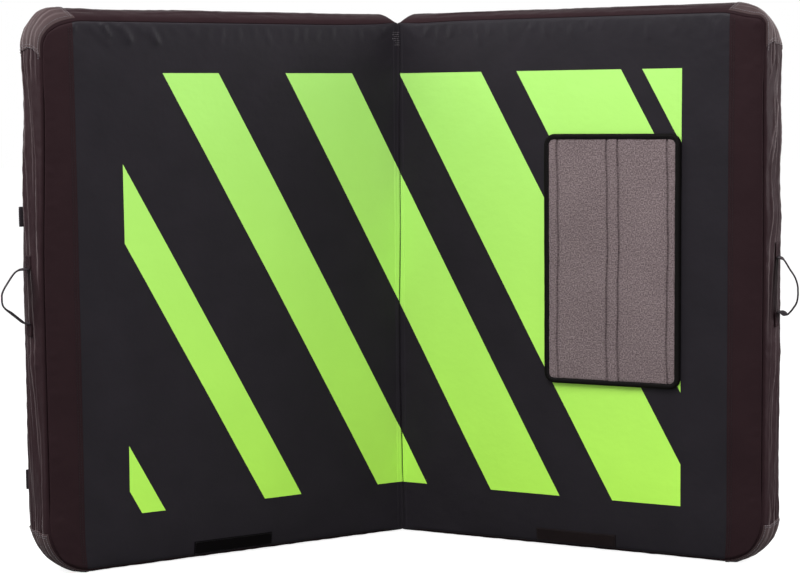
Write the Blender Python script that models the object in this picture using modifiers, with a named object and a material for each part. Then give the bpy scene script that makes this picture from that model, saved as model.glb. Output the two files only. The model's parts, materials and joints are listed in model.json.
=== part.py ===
"""Bouldering crash pad: two hinged foam halves in a fabric shell, standing half open on its long edge.

Every piece of a half is modelled flat, in that half's own frame: u (along X) runs from the fold out
to the end, w (along Y) from the landing face back through the thickness, and z up. The right half
has u along +X, and the left half is its mirror image. Each frame is then turned about the fold.
"""

import math
from dataclasses import dataclass

import bmesh
import bpy
from mathutils import Vector

OBJECT_NAME = "crash_pad"

# Driving sizes of one half
HALF_LENGTH = 0.726
PAD_HEIGHT = 1.000
FIRM_FOAM = 0.0200
CORE_FOAM = 0.0770
SKIN = 0.0012
GAP = 0.0003
HALF_TURN_DEG = 28.5
PAD_THICKNESS = FIRM_FOAM + CORE_FOAM + 2 * (SKIN + GAP)

# Outline and puffed sides of the cushion
OUTER_CORNER = 0.080
INNER_CORNER = 0.020
TOP_DRAW = 0.018
END_DRAW = 0.008
BOTTOM_DRAW = 0.004
CROWN = 0.006
SEAM_DEPTH = SKIN + GAP
GUSSET_GAP = 0.0008
PUFF_POWER = 0.7
FLAT_SHARE = 0.5
RING_SHARES = (0.05, 0.13, 0.25, 0.5, 0.75, 0.87, 0.95)
GRID_U_SHARES = (0.17, 0.33, 0.5, 0.67, 0.83)
GRID_Z_SHARES = (0.125, 0.25, 0.375, 0.5, 0.625, 0.75, 0.875)
OUTER_SEGMENTS = 6
INNER_SEGMENTS = 3

# Fold line: a sewn welt on the axis, with the inner ends of both halves set back from it
WELT_RADIUS = 0.0015
FOLD_EDGE = WELT_RADIUS + GAP
INNER_SETBACK = 0.0027
WELT_SIDES = 12

# Heavy fabric at the outer ends, and the wrapped corner patches
BORDER_WIDTH = 0.065
CORNER_PATCH_REACH = 0.088
CORNER_PATCH_THICKNESS = 0.0010
CORNER_PATCH_LIFT = 0.003

# Webbing hand loops on the end gussets
LOOP_HEIGHT = 0.497
LOOP_SPAN = 0.098
LOOP_STANDOFF = 0.046
LOOP_WIDTH = 0.025
LOOP_THICKNESS = 0.0025
LOOP_ROUNDNESS = 0.75
LOOP_STEPS = 18
LOOP_ANCHOR_RUN = 0.025
LOOP_ANCHOR_THICKNESS = 0.0020

# Carpet for wiping shoes, on the right landing face
CARPET_FROM_FOLD = 0.303
CARPET_WIDTH = 0.258
CARPET_LOW = 0.311
CARPET_LENGTH = 0.457
CARPET_CORNER = 0.020
CARPET_THICKNESS = 0.007
BINDING_WIDTH = 0.010
BINDING_THICKNESS = 0.009
CARPET_SEGMENTS = 4
FACE_CLEARANCE = 0.0006

# Hook-and-loop tabs that meet when the pad is shut
TAB_FROM_FOLD = 0.284
TAB_LENGTH = 0.158
TAB_LOW = 0.008
TAB_HEIGHT = 0.025
TAB_THICKNESS = 0.0018

# Zip on the back panel, beside the fold
ZIP_FROM_FOLD = 0.040
ZIP_LOW = 0.120
ZIP_LENGTH = 0.760
ZIP_TAPE_WIDTH = 0.024
ZIP_TAPE_THICKNESS = 0.0010
COIL_WIDTH = 0.0050
COIL_HEIGHT = 0.0018
SLIDER_WIDTH = 0.0110
SLIDER_HEIGHT = 0.0050
SLIDER_LENGTH = 0.0140
SLIDER_STOP = 0.0200
PULL_WIDTH = 0.0070
PULL_TIP_WIDTH = 0.0100
PULL_LENGTH = 0.0320
PULL_THICKNESS = 0.0018
PULL_SETBACK = 0.0020

# Closure straps on the outer edges of the back panels
CLOSURE_HEIGHTS = {"lower": 0.161, "upper": 0.634}
CLOSURE_WIDTH = 0.036
CLOSURE_THICKNESS = 0.0020
CLOSURE_LONG = 0.150
CLOSURE_SHORT = 0.070
CLOSURE_ANCHOR_LENGTH = 0.032
CLOSURE_ANCHOR_THICKNESS = 0.0042
CLOSURE_OVERHANG = 0.004
CLOSURE_SETBACK = 0.0020

# Side-release buckles
BUCKLE_WIDTH = 0.048
BUCKLE_LENGTH = 0.040
BUCKLE_THICKNESS = 0.0120
BUCKLE_EDGE = 0.0015
PRONG_LENGTH = 0.024
PRONG_WIDTH = 0.0080
PRONG_THICKNESS = 0.0060
TONGUE_WIDTH = 0.0060
MOUTH_WIDTH = 0.038
MOUTH_HEIGHT = 0.0080
MOUTH_DEPTH = 0.028

# Carrying harness on the back of the left half
HARNESS_FROM_FOLD = 0.330
HARNESS_DROP = 0.120
HARNESS_PATCH_WIDTH = 0.190
HARNESS_PATCH_HEIGHT = 0.110
HARNESS_PATCH_THICKNESS = 0.0015
HARNESS_PATCH_CORNER = 0.015
STRAP_TOP_OFFSET = 0.056
STRAP_LOW_OFFSET = 0.125
STRAP_WIDTH = 0.062
STRAP_THICKNESS = 0.012
STRAP_LENGTH = 0.372
STRAP_BOW = 0.075
STRAP_STEPS = 16
STRAP_TAPER = 3
STRAP_SETBACK = 0.008
LOCK_WIDTH = 0.034
LOCK_HEIGHT = 0.026
LOCK_THICKNESS = 0.0060
LOCK_SLOT = 0.0045
LOCK_BAR = 0.0050
LOCK_SEGMENTS = 2
WEB_WIDTH = 0.025
WEB_THICKNESS = 0.0020
WEB_LENGTH = 0.120
ANCHOR_LENGTH = 0.040
ANCHOR_THICKNESS = 0.0040
STRAP_EDGE = 0.003

CUT_OVERRUN = 0.010
MERGE = 0.00001
SQRT_HALF = math.sqrt(0.5)
SHARP_DEG = 40


@dataclass(frozen=True)
class Half:
    """One half of the pad: its name, the side it lies on and the frame that carries it."""

    name: str
    side: int
    frame: bpy.types.Object

    def point(self, u, w, z):
        """Place a point given in u, w and z in the half's frame."""
        return Vector((self.side * u, w, z))


def clear_scene():
    """Remove everything that a new scene holds."""
    for obj in list(bpy.data.objects):
        bpy.data.objects.remove(obj)


def finish(name, colour, roughness, metallic=0.0):
    """Make one Principled material."""
    material = bpy.data.materials.new(name)
    material.use_nodes = True
    shader = material.node_tree.nodes["Principled BSDF"]
    shader.inputs["Base Color"].default_value = (*colour, 1.0)
    shader.inputs["Roughness"].default_value = roughness
    shader.inputs["Metallic"].default_value = metallic
    return material


FINISHES = {
    "shell": ((0.020, 0.018, 0.022), 0.55),
    "heavy": ((0.018, 0.012, 0.013), 0.75),
    "patch": ((0.110, 0.095, 0.092), 0.80),
    "webbing": ((0.045, 0.042, 0.045), 0.80),
    "carpet": ((0.150, 0.115, 0.120), 0.95),
    "binding": ((0.010, 0.009, 0.010), 0.85),
    "hook": ((0.004, 0.004, 0.004), 0.90),
    "plastic": ((0.012, 0.012, 0.013), 0.35),
    "firm_foam": ((0.080, 0.085, 0.095), 0.85),
    "core_foam": ((0.650, 0.620, 0.480), 0.90),
    "padding": ((0.030, 0.026, 0.028), 0.80),
}


class Builder:
    """Adds finished pieces to the object's own collection."""

    def __init__(self):
        self.collection = bpy.data.collections.new(OBJECT_NAME)
        self.cutters = bpy.data.collections.new(OBJECT_NAME + "_cutters")
        bpy.context.scene.collection.children.link(self.collection)
        bpy.context.scene.collection.children.link(self.cutters)

    def empty(self, name, parent=None, location=(0, 0, 0), turn=0.0):
        """Add an empty that carries pieces or marks a joint."""
        frame = bpy.data.objects.new(name, None)
        self.collection.objects.link(frame)
        frame.parent = parent
        frame.location = location
        frame.rotation_euler = (0, 0, turn)
        return frame

    def piece(self, name, bm, half, look, pivot=None, wall=0.0, outward=False, smooth=True):
        """Turn a mesh given in u, w and z into a named piece of one half.

        pivot is the joint's empty in the half's frame, where the piece moves, and wall is the
        thickness that an open surface gets.
        """
        if half.side < 0:
            bmesh.ops.scale(bm, vec=(-1, 1, 1), verts=bm.verts)
            bmesh.ops.reverse_faces(bm, faces=bm.faces)
        if pivot is not None:
            bmesh.ops.translate(bm, vec=-pivot.location, verts=bm.verts)
        mesh = bpy.data.meshes.new(name)
        bm.to_mesh(mesh)
        bm.free()
        if smooth:
            mesh.shade_smooth()
            mesh.set_sharp_from_angle(angle=math.radians(SHARP_DEG))
        colour, roughness = FINISHES[look]
        mesh.materials.append(finish(f"{name}-{look}", colour, roughness))
        obj = bpy.data.objects.new(name, mesh)
        self.collection.objects.link(obj)
        obj.parent = pivot if pivot is not None else half.frame
        if wall:
            shell = obj.modifiers.new("wall", 'SOLIDIFY')
            shell.thickness = wall
            shell.offset = 1 if outward else -1
            shell.use_even_offset = True
        return obj


def lerp(low, high, share):
    """Blend two values."""
    return low + (high - low) * share


def crown(u, z):
    """Height of the landing face over its seam plane."""
    along = math.sin(math.pi * min(max((u - FOLD_EDGE) / (HALF_LENGTH - FOLD_EDGE), 0), 1))
    up = math.sin(math.pi * min(max(z / PAD_HEIGHT, 0), 1))
    return CROWN * along * up


def cut(bm, point, normal, clear=True, faces=None):
    """Split a mesh by a plane, and drop the side that the normal points to if clear is set."""
    if faces is None:
        geom = bm.verts[:] + bm.edges[:] + bm.faces[:]
    else:
        edges = {edge for face in faces for edge in face.edges}
        verts = {vert for face in faces for vert in face.verts}
        geom = list(faces) + list(edges) + list(verts)
    bmesh.ops.bisect_plane(bm, geom=geom, plane_co=point, plane_no=normal, clear_outer=clear)


def face_out(bm):
    """Point every face of a closed body outwards."""
    bmesh.ops.recalc_face_normals(bm, faces=bm.faces)
    if bm.calc_volume(signed=True) < 0:
        bmesh.ops.reverse_faces(bm, faces=bm.faces)


def cap(bm):
    """Close the flat openings that cuts have left."""
    open_edges = [edge for edge in bm.edges if edge.is_boundary]
    bmesh.ops.holes_fill(bm, edges=open_edges, sides=0)
    face_out(bm)


def box(low, high, edge=0.0, segments=2):
    """Make a closed box between two corners, with rounded edges if edge is set."""
    bm = bmesh.new()
    bmesh.ops.create_cube(bm, size=1)
    low, high = Vector(low), Vector(high)
    bmesh.ops.scale(bm, vec=high - low, verts=bm.verts)
    bmesh.ops.translate(bm, vec=(low + high) / 2, verts=bm.verts)
    if edge:
        bmesh.ops.bevel(bm, geom=bm.edges[:], offset=edge, segments=segments, profile=0.5, affect='EDGES')
    return bm


def round_corners(bm, radius, segments, chosen):
    """Round the edges along the thickness for which chosen is true."""
    edges = []
    for edge in bm.edges:
        first, second = (vert.co for vert in edge.verts)
        along = abs(first.y - second.y) > max(abs(first.x - second.x), abs(first.z - second.z))
        if along and chosen((first + second) / 2):
            edges.append(edge)
    bmesh.ops.bevel(bm, geom=edges, offset=radius, segments=segments, profile=0.5, affect='EDGES')


def cushion(inset):
    """Make the closed body of one half, with every face drawn in by inset."""
    low = Vector((FOLD_EDGE + inset, inset, inset))
    high = Vector((HALF_LENGTH - inset, PAD_THICKNESS - inset, PAD_HEIGHT - inset))
    depth = high.y - low.y
    middle = (low.x + high.x) / 2
    bm = box(low, high)
    round_corners(bm, OUTER_CORNER - inset, OUTER_SEGMENTS, lambda centre: centre.x > middle)
    round_corners(bm, INNER_CORNER, INNER_SEGMENTS, lambda centre: centre.x < low.x + GAP)
    levels = [low.y + share * depth for share in RING_SHARES]
    if not inset:
        levels += [SEAM_DEPTH, PAD_THICKNESS - SEAM_DEPTH]
    for level in sorted(levels):
        cut(bm, (0, level, 0), (0, 1, 0), clear=False)
    for share in GRID_U_SHARES:
        front = [face for face in bm.faces if face.normal.y < -SQRT_HALF]
        cut(bm, (share * HALF_LENGTH, 0, 0), (1, 0, 0), clear=False, faces=front)
    for share in GRID_Z_SHARES:
        front = [face for face in bm.faces if face.normal.y < -SQRT_HALF]
        cut(bm, (0, 0, share * PAD_HEIGHT), (0, 0, 1), clear=False, faces=front)
    for vert in bm.verts:
        depth_share = (vert.co.y - low.y) / depth
        along = (vert.co.x - low.x) / (high.x - low.x)
        up = (vert.co.z - low.z) / (high.z - low.z)
        drawn = 1 - max(math.sin(math.pi * depth_share), 0) ** PUFF_POWER
        edge = max(abs(2 * depth_share - 1) - FLAT_SHARE, 0) / (1 - FLAT_SHARE)
        setback = INNER_SETBACK * min(1, vert.co.y / SEAM_DEPTH)
        vert.co.x += lerp(setback, -END_DRAW * drawn, along)
        vert.co.z += lerp(BOTTOM_DRAW * edge ** 2, -TOP_DRAW * drawn, up)
        if vert.co.y < low.y + GAP:
            vert.co.y -= crown(vert.co.x, vert.co.z)
    return bm


def keep_faces(bm, wanted):
    """Drop every face whose centre fails the test."""
    spare = [face for face in bm.faces if not wanted(face.calc_center_bounds())]
    bmesh.ops.delete(bm, geom=spare, context='FACES')


def landing_surface():
    """Open surface of the landing face inside its seam."""
    bm = cushion(0)
    keep_faces(bm, lambda centre: centre.y < SEAM_DEPTH / 4)
    return bm


def back_surface():
    """Open surface of the back face inside its seam."""
    bm = cushion(0)
    keep_faces(bm, lambda centre: centre.y > PAD_THICKNESS - SEAM_DEPTH / 4)
    return bm


def gusset_surface():
    """Open ring between the two seams."""
    bm = cushion(0)
    keep_faces(bm, lambda centre: SEAM_DEPTH < centre.y < PAD_THICKNESS - SEAM_DEPTH)
    return bm


def swell(bm, distance):
    """Move an open surface out along its normals."""
    bm.normal_update()
    for vert in bm.verts:
        vert.co += vert.normal * distance


def follow_crown(bm):
    """Bend a flat piece to the crown of the landing face."""
    for share in GRID_U_SHARES:
        cut(bm, (share * HALF_LENGTH, 0, 0), (1, 0, 0), clear=False)
    for share in GRID_Z_SHARES:
        cut(bm, (0, 0, share * PAD_HEIGHT), (0, 0, 1), clear=False)
    for vert in bm.verts:
        vert.co.y -= crown(vert.co.x, vert.co.z)


def outline_mesh(outlines, thickness):
    """Extrude flat outlines in X and Y into a closed mesh centred on Z; a second outline is a hole."""
    curve = bpy.data.curves.new("outline", 'CURVE')
    curve.dimensions = '2D'
    curve.fill_mode = 'BOTH'
    curve.extrude = thickness / 2
    for outline in outlines:
        spline = curve.splines.new('POLY')
        spline.points.add(len(outline) - 1)
        for point, (x, y) in zip(spline.points, outline):
            point.co = (x, y, 0, 1)
        spline.use_cyclic_u = True
    holder = bpy.data.objects.new("outline", curve)
    bpy.context.scene.collection.objects.link(holder)
    graph = bpy.context.evaluated_depsgraph_get()
    mesh = bpy.data.meshes.new_from_object(holder.evaluated_get(graph))
    bpy.data.objects.remove(holder)
    bm = bmesh.new()
    bm.from_mesh(mesh)
    bpy.data.meshes.remove(mesh)
    bmesh.ops.remove_doubles(bm, verts=bm.verts, dist=MERGE)
    face_out(bm)
    return bm


def rounded_rectangle(low, high, radius, segments):
    """List the points of a rounded rectangle in two coordinates."""
    points = []
    corners = ((high[0] - radius, high[1] - radius, 0), (low[0] + radius, high[1] - radius, 1),
               (low[0] + radius, low[1] + radius, 2), (high[0] - radius, low[1] + radius, 3))
    for x, y, quarter in corners:
        for step in range(segments + 1):
            angle = math.pi / 2 * (quarter + step / segments)
            points.append((x + radius * math.cos(angle), y + radius * math.sin(angle)))
    return points


def stand_up(bm, front):
    """Turn an extruded outline from X and Y into u and z, with its front face at the given w."""
    lowest = min(vert.co.z for vert in bm.verts)
    for vert in bm.verts:
        vert.co = Vector((vert.co.x, front + vert.co.z - lowest, vert.co.y))
    face_out(bm)
    return bm


def ribbon(centres, half_widths, across, thickness):
    """Sweep a flat strip through its centre points, and give it its thickness about its middle."""
    bm = bmesh.new()
    rows = []
    for centre, half_width in zip(centres, half_widths):
        rows.append((bm.verts.new(centre - across * half_width), bm.verts.new(centre + across * half_width)))
    for (a, b), (c, d) in zip(rows, rows[1:]):
        bm.faces.new((a, b, d, c))
    bm.normal_update()
    shifts = [(vert, vert.normal * (thickness / 2)) for vert in bm.verts]
    for vert, shift in shifts:
        vert.co -= shift
    return bm


def diagonal(corner_u, corner_z, out_u, out_z):
    """Plane through a corner's centre at 45 degrees: a point on it and its unit normal."""
    return Vector((corner_u, 0, corner_z)), Vector((out_u * SQRT_HALF, 0, out_z * SQRT_HALF))


def add_foam(build, half):
    """Two foam slabs cut from one body: a firm sheet under the landing face and a soft core."""
    inset = SKIN + GAP
    level = inset + FIRM_FOAM
    firm = cushion(inset)
    cut(firm, (0, level - GAP / 2, 0), (0, 1, 0))
    cap(firm)
    build.piece(half.name + "_foam_firm", firm, half, "firm_foam")
    core = cushion(inset)
    cut(core, (0, level + GAP / 2, 0), (0, -1, 0))
    cap(core)
    build.piece(half.name + "_foam_core", core, half, "core_foam")


def add_shell(build, half):
    """Fabric shell: landing cover, end border, back panel and the four gusset strips."""
    border_start = HALF_LENGTH - END_DRAW - BORDER_WIDTH
    cover = landing_surface()
    cut(cover, (border_start - GAP / 2, 0, 0), (1, 0, 0))
    build.piece(half.name + "_landing_cover", cover, half, "shell", wall=SKIN)
    border = landing_surface()
    cut(border, (border_start + GAP / 2, 0, 0), (-1, 0, 0))
    build.piece(half.name + "_end_border", border, half, "heavy", wall=SKIN)
    build.piece(half.name + "_back_panel", back_surface(), half, "heavy", wall=SKIN)

    outer, inner = HALF_LENGTH - OUTER_CORNER, FOLD_EDGE + INNER_CORNER
    sectors = {
        "top": ((outer, PAD_HEIGHT - OUTER_CORNER, 1, -1), (inner, PAD_HEIGHT - INNER_CORNER, -1, -1)),
        "bottom": ((outer, OUTER_CORNER, 1, 1), (inner, INNER_CORNER, -1, 1)),
        "end": ((outer, PAD_HEIGHT - OUTER_CORNER, -1, 1), (outer, OUTER_CORNER, -1, -1)),
        "inner": ((inner, PAD_HEIGHT - INNER_CORNER, 1, 1), (inner, INNER_CORNER, 1, -1)),
    }
    for label, planes in sectors.items():
        strip = gusset_surface()
        for plane in planes:
            point, normal = diagonal(*plane)
            cut(strip, point - normal * (GUSSET_GAP / 2), normal)
        build.piece(half.name + "_gusset_" + label, strip, half, "heavy", wall=SKIN)

    for label, low in (("upper", False), ("lower", True)):
        patch = gusset_surface()
        cut(patch, (HALF_LENGTH - CORNER_PATCH_REACH, 0, 0), (-1, 0, 0))
        if low:
            cut(patch, (0, 0, CORNER_PATCH_REACH), (0, 0, 1))
            cut(patch, (0, 0, CORNER_PATCH_LIFT), (0, 0, -1))
        else:
            cut(patch, (0, 0, PAD_HEIGHT - CORNER_PATCH_REACH), (0, 0, -1))
        swell(patch, GAP)
        build.piece(half.name + "_corner_patch_" + label, patch, half, "patch",
                    wall=CORNER_PATCH_THICKNESS, outward=True)


def add_hand_loop(build, half):
    """Carrying loop on the end gusset, swinging about the line through its rounded feet."""
    middle = PAD_THICKNESS / 2
    radius = LOOP_WIDTH / 2
    out = HALF_LENGTH + GAP
    standoff = LOOP_STANDOFF - LOOP_THICKNESS / 2
    half_span = (LOOP_SPAN - LOOP_THICKNESS) / 2
    centres, half_widths = [], []
    for step in range(LOOP_STEPS + 1):
        angle = math.pi * step / LOOP_STEPS
        reach = standoff * max(math.sin(angle), 0) ** LOOP_ROUNDNESS
        centres.append(Vector((out + reach, middle, LOOP_HEIGHT - half_span * math.cos(angle))))
        short = max(radius - reach, 0)
        half_widths.append(max(math.sqrt(radius ** 2 - short ** 2), LOOP_THICKNESS / 2))
    pivot = build.empty(half.name + "_loop_pivot", half.frame, half.point(out + radius, middle, LOOP_HEIGHT))
    loop = ribbon(centres, half_widths, Vector((0, 1, 0)), LOOP_THICKNESS)
    build.piece(half.name + "_hand_loop", loop, half, "webbing", pivot=pivot,
                wall=LOOP_THICKNESS, outward=True)

    inner, outer = LOOP_SPAN / 2 + GAP, LOOP_SPAN / 2 + LOOP_ANCHOR_RUN
    for label, way in (("lower", -1), ("upper", 1)):
        anchor = gusset_surface()
        cut(anchor, (HALF_LENGTH - OUTER_CORNER, 0, 0), (-1, 0, 0))
        cut(anchor, (0, middle + radius, 0), (0, 1, 0))
        cut(anchor, (0, middle - radius, 0), (0, -1, 0))
        cut(anchor, (0, 0, LOOP_HEIGHT + way * outer), (0, 0, way))
        cut(anchor, (0, 0, LOOP_HEIGHT + way * inner), (0, 0, -way))
        swell(anchor, GAP)
        build.piece(f"{half.name}_loop_anchor_{label}", anchor, half, "webbing",
                    wall=LOOP_ANCHOR_THICKNESS, outward=True)


def add_face_tab(build, half):
    """Hook-and-loop tab along the bottom of the landing face."""
    front = -FACE_CLEARANCE - TAB_THICKNESS
    tab = box((TAB_FROM_FOLD, front, TAB_LOW),
              (TAB_FROM_FOLD + TAB_LENGTH, -FACE_CLEARANCE, TAB_LOW + TAB_HEIGHT))
    follow_crown(tab)
    build.piece(half.name + "_face_tab", tab, half, "hook", smooth=False)


def add_zip(build, half):
    """Zip tape with its coil, the slider that runs along it and the pull that hangs from it."""
    back = PAD_THICKNESS + GAP
    tape_face = back + ZIP_TAPE_THICKNESS
    coil_face = tape_face + COIL_HEIGHT
    side, rib = ZIP_TAPE_WIDTH / 2, COIL_WIDTH / 2
    profile = ((-side, back), (side, back), (side, tape_face), (rib, tape_face),
               (rib, coil_face), (-rib, coil_face), (-rib, tape_face), (-side, tape_face))
    tape = outline_mesh([[(ZIP_FROM_FOLD + x, y) for x, y in profile]], ZIP_LENGTH)
    bmesh.ops.translate(tape, vec=(0, 0, ZIP_LOW + ZIP_LENGTH / 2), verts=tape.verts)
    build.piece(half.name + "_zip_tape", tape, half, "webbing", smooth=False)

    slider_low = ZIP_LOW + SLIDER_STOP
    seat, top = tape_face + GAP, tape_face + GAP + SLIDER_HEIGHT
    wide, groove = SLIDER_WIDTH / 2, rib + GAP
    saddle = ((-wide, seat), (-groove, seat), (-groove, coil_face + GAP), (groove, coil_face + GAP),
              (groove, seat), (wide, seat), (wide, top), (-wide, top))
    body = outline_mesh([[(ZIP_FROM_FOLD + x, y) for x, y in saddle]], SLIDER_LENGTH)
    bmesh.ops.translate(body, vec=(0, 0, slider_low + SLIDER_LENGTH / 2), verts=body.verts)
    carrier = build.empty(half.name + "_zip_travel", half.frame, half.point(ZIP_FROM_FOLD, seat, slider_low))
    build.piece(half.name + "_zip_slider", body, half, "plastic", pivot=carrier, smooth=False)

    hinge_z = slider_low + SLIDER_LENGTH - PULL_SETBACK
    hinge_w = top + GAP + PULL_THICKNESS / 2
    grip = ((-PULL_WIDTH / 2, 0), (PULL_WIDTH / 2, 0),
            (PULL_TIP_WIDTH / 2, -PULL_LENGTH), (-PULL_TIP_WIDTH / 2, -PULL_LENGTH))
    grip = [(ZIP_FROM_FOLD + x, hinge_z + z) for x, z in grip]
    pull = stand_up(outline_mesh([grip], PULL_THICKNESS), top + GAP)
    pivot = build.empty(half.name + "_pull_pivot", half.frame, half.point(ZIP_FROM_FOLD, hinge_w, hinge_z))
    build.piece(half.name + "_zip_pull", pull, half, "plastic", pivot=pivot, smooth=False)


def male_buckle(start, seat, height):
    """Plug half of a side-release buckle: a body with two prongs and a tongue, along -u from start."""
    wide, body_end = BUCKLE_WIDTH / 2, start - (BUCKLE_LENGTH - PRONG_LENGTH / 2)
    tip = body_end - PRONG_LENGTH
    prong, tongue = MOUTH_WIDTH / 2 - GAP, TONGUE_WIDTH / 2
    outline = [(start, -wide), (start, wide), (body_end, wide), (body_end, prong), (tip, prong),
               (tip, prong - PRONG_WIDTH), (body_end, prong - PRONG_WIDTH), (body_end, tongue), (tip, tongue)]
    outline += [(u, -z) for u, z in reversed(outline[2:])]
    return stand_up(outline_mesh([[(u, height + z) for u, z in outline]], PRONG_THICKNESS), seat)


def female_buckle(start, seat, height):
    """Socket half of a side-release buckle along -u from start, and the mouth to cut out of it."""
    end = start - BUCKLE_LENGTH
    wide = BUCKLE_WIDTH / 2
    body = box((end, seat, height - wide), (start, seat + BUCKLE_THICKNESS, height + wide), BUCKLE_EDGE)
    middle = seat + BUCKLE_THICKNESS / 2
    mouth = box((end - CUT_OVERRUN, middle - MOUTH_HEIGHT / 2, height - MOUTH_WIDTH / 2),
                (end + MOUTH_DEPTH, middle + MOUTH_HEIGHT / 2, height + MOUTH_WIDTH / 2))
    return body, mouth


def subtract(build, obj, half, cutter_bm, pivot):
    """Cut a hollow out of a piece with a hidden cutter."""
    if half.side < 0:
        bmesh.ops.scale(cutter_bm, vec=(-1, 1, 1), verts=cutter_bm.verts)
        bmesh.ops.reverse_faces(cutter_bm, faces=cutter_bm.faces)
    bmesh.ops.translate(cutter_bm, vec=-pivot.location, verts=cutter_bm.verts)
    mesh = bpy.data.meshes.new(obj.name + "_cutter")
    cutter_bm.to_mesh(mesh)
    cutter_bm.free()
    cutter = bpy.data.objects.new(obj.name + "_cutter", mesh)
    build.cutters.objects.link(cutter)
    cutter.parent = pivot
    cutter.hide_render = True
    cutter.display_type = 'WIRE'
    boolean = obj.modifiers.new("hollow", 'BOOLEAN')
    boolean.operation = 'DIFFERENCE'
    boolean.solver = 'EXACT'
    boolean.object = cutter


def add_closure(build, half):
    """Closure straps: anchors sewn at the outer edge, straps that swing out and their buckles."""
    seat = PAD_THICKNESS + GAP
    outer = HALF_LENGTH - END_DRAW + CLOSURE_OVERHANG
    inner = outer - CLOSURE_ANCHOR_LENGTH
    wide = CLOSURE_WIDTH / 2
    top = seat + CLOSURE_ANCHOR_THICKNESS
    is_plug = half.side < 0
    start = inner - CLOSURE_SETBACK
    run = CLOSURE_LONG if is_plug else CLOSURE_SHORT
    end = start - run
    for label, height in CLOSURE_HEIGHTS.items():
        anchor = box((inner, seat, height - wide), (outer, top, height + wide))
        build.piece(f"{half.name}_closure_anchor_{label}", anchor, half, "webbing", smooth=False)
        pivot = build.empty(f"{half.name}_closure_{label}_pivot", half.frame,
                            half.point(start, top + GAP, height))
        strap = box((end, seat, height - wide), (start, seat + CLOSURE_THICKNESS, height + wide))
        build.piece(f"{half.name}_closure_strap_{label}", strap, half, "webbing", pivot=pivot, smooth=False)
        if is_plug:
            build.piece(f"{half.name}_closure_plug_{label}", male_buckle(end - GAP, seat, height), half,
                        "plastic", pivot=pivot, smooth=False)
        else:
            body, mouth = female_buckle(end - GAP, seat, height)
            socket = build.piece(f"{half.name}_closure_socket_{label}", body, half, "plastic", pivot=pivot)
            subtract(build, socket, half, mouth, pivot)


def add_harness(build, half):
    """Carrying harness: a sewn patch, two bowed shoulder straps with ladder locks, webbing and anchors."""
    back = PAD_THICKNESS + GAP
    centre = HARNESS_FROM_FOLD
    wide = HARNESS_PATCH_WIDTH / 2
    top = PAD_HEIGHT - HARNESS_DROP
    strap_low = top - STRAP_SETBACK - STRAP_LENGTH
    patch_outline = rounded_rectangle((centre - wide, top - HARNESS_PATCH_HEIGHT / 2),
                                      (centre + wide, top + HARNESS_PATCH_HEIGHT / 2),
                                      HARNESS_PATCH_CORNER, INNER_SEGMENTS)
    patch = stand_up(outline_mesh([patch_outline], HARNESS_PATCH_THICKNESS), back)
    build.piece(half.name + "_harness_patch", patch, half, "patch", smooth=False)

    seat = back + HARNESS_PATCH_THICKNESS + GAP
    core = seat + STRAP_THICKNESS / 2
    for label, way in (("near", -1), ("far", 1)):
        hinge = Vector((centre + way * STRAP_TOP_OFFSET, core, top))
        pivot = build.empty(f"{half.name}_shoulder_{label}_pivot", half.frame, half.point(*hinge))
        centres = []
        for step in range(STRAP_STEPS + 1):
            share = step / STRAP_STEPS
            ease = share * share * (3 - 2 * share)
            centres.append(Vector((centre + way * lerp(STRAP_TOP_OFFSET, STRAP_LOW_OFFSET, ease),
                                   core + STRAP_BOW * math.sin(math.pi * share),
                                   lerp(top - STRAP_SETBACK, strap_low, share))))
        widths = [lerp(STRAP_WIDTH, LOCK_WIDTH, (step / STRAP_STEPS) ** STRAP_TAPER) / 2
                  for step in range(STRAP_STEPS + 1)]
        pad = ribbon(centres, widths, Vector((1, 0, 0)), STRAP_THICKNESS)
        build.piece(f"{half.name}_shoulder_pad_{label}", pad, half, "padding", pivot=pivot,
                    wall=STRAP_THICKNESS, outward=True)

        low_u = centre + way * STRAP_LOW_OFFSET
        lock_top = strap_low - STRAP_EDGE
        lock_low = lock_top - LOCK_HEIGHT
        slot_wide = WEB_WIDTH / 2 + GAP
        lock_outline = rounded_rectangle((low_u - LOCK_WIDTH / 2, lock_low),
                                         (low_u + LOCK_WIDTH / 2, lock_top), STRAP_EDGE, LOCK_SEGMENTS)
        holes = []
        for hole_low in (lock_low + LOCK_BAR, lock_top - LOCK_BAR - LOCK_SLOT):
            holes.append([(low_u - slot_wide, hole_low), (low_u - slot_wide, hole_low + LOCK_SLOT),
                          (low_u + slot_wide, hole_low + LOCK_SLOT), (low_u + slot_wide, hole_low)])
        lock = stand_up(outline_mesh([lock_outline] + holes, LOCK_THICKNESS), core - LOCK_THICKNESS / 2)
        build.piece(f"{half.name}_ladder_lock_{label}", lock, half, "plastic", pivot=pivot, smooth=False)

        web_top = lock_low - GAP
        web_low = web_top - WEB_LENGTH
        foot = back + ANCHOR_THICKNESS / 2
        web_centres = [Vector((low_u, core, web_top)), Vector((low_u, foot, web_low))]
        web = ribbon(web_centres, [WEB_WIDTH / 2] * 2, Vector((1, 0, 0)), WEB_THICKNESS)
        build.piece(f"{half.name}_shoulder_web_{label}", web, half, "webbing", pivot=pivot,
                    wall=WEB_THICKNESS, outward=True, smooth=False)
        anchor_top = web_low - 2 * GAP
        anchor = box((low_u - WEB_WIDTH / 2, back, anchor_top - ANCHOR_LENGTH),
                     (low_u + WEB_WIDTH / 2, back + ANCHOR_THICKNESS, anchor_top))
        build.piece(f"{half.name}_harness_anchor_{label}", anchor, half, "webbing", smooth=False)


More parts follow.
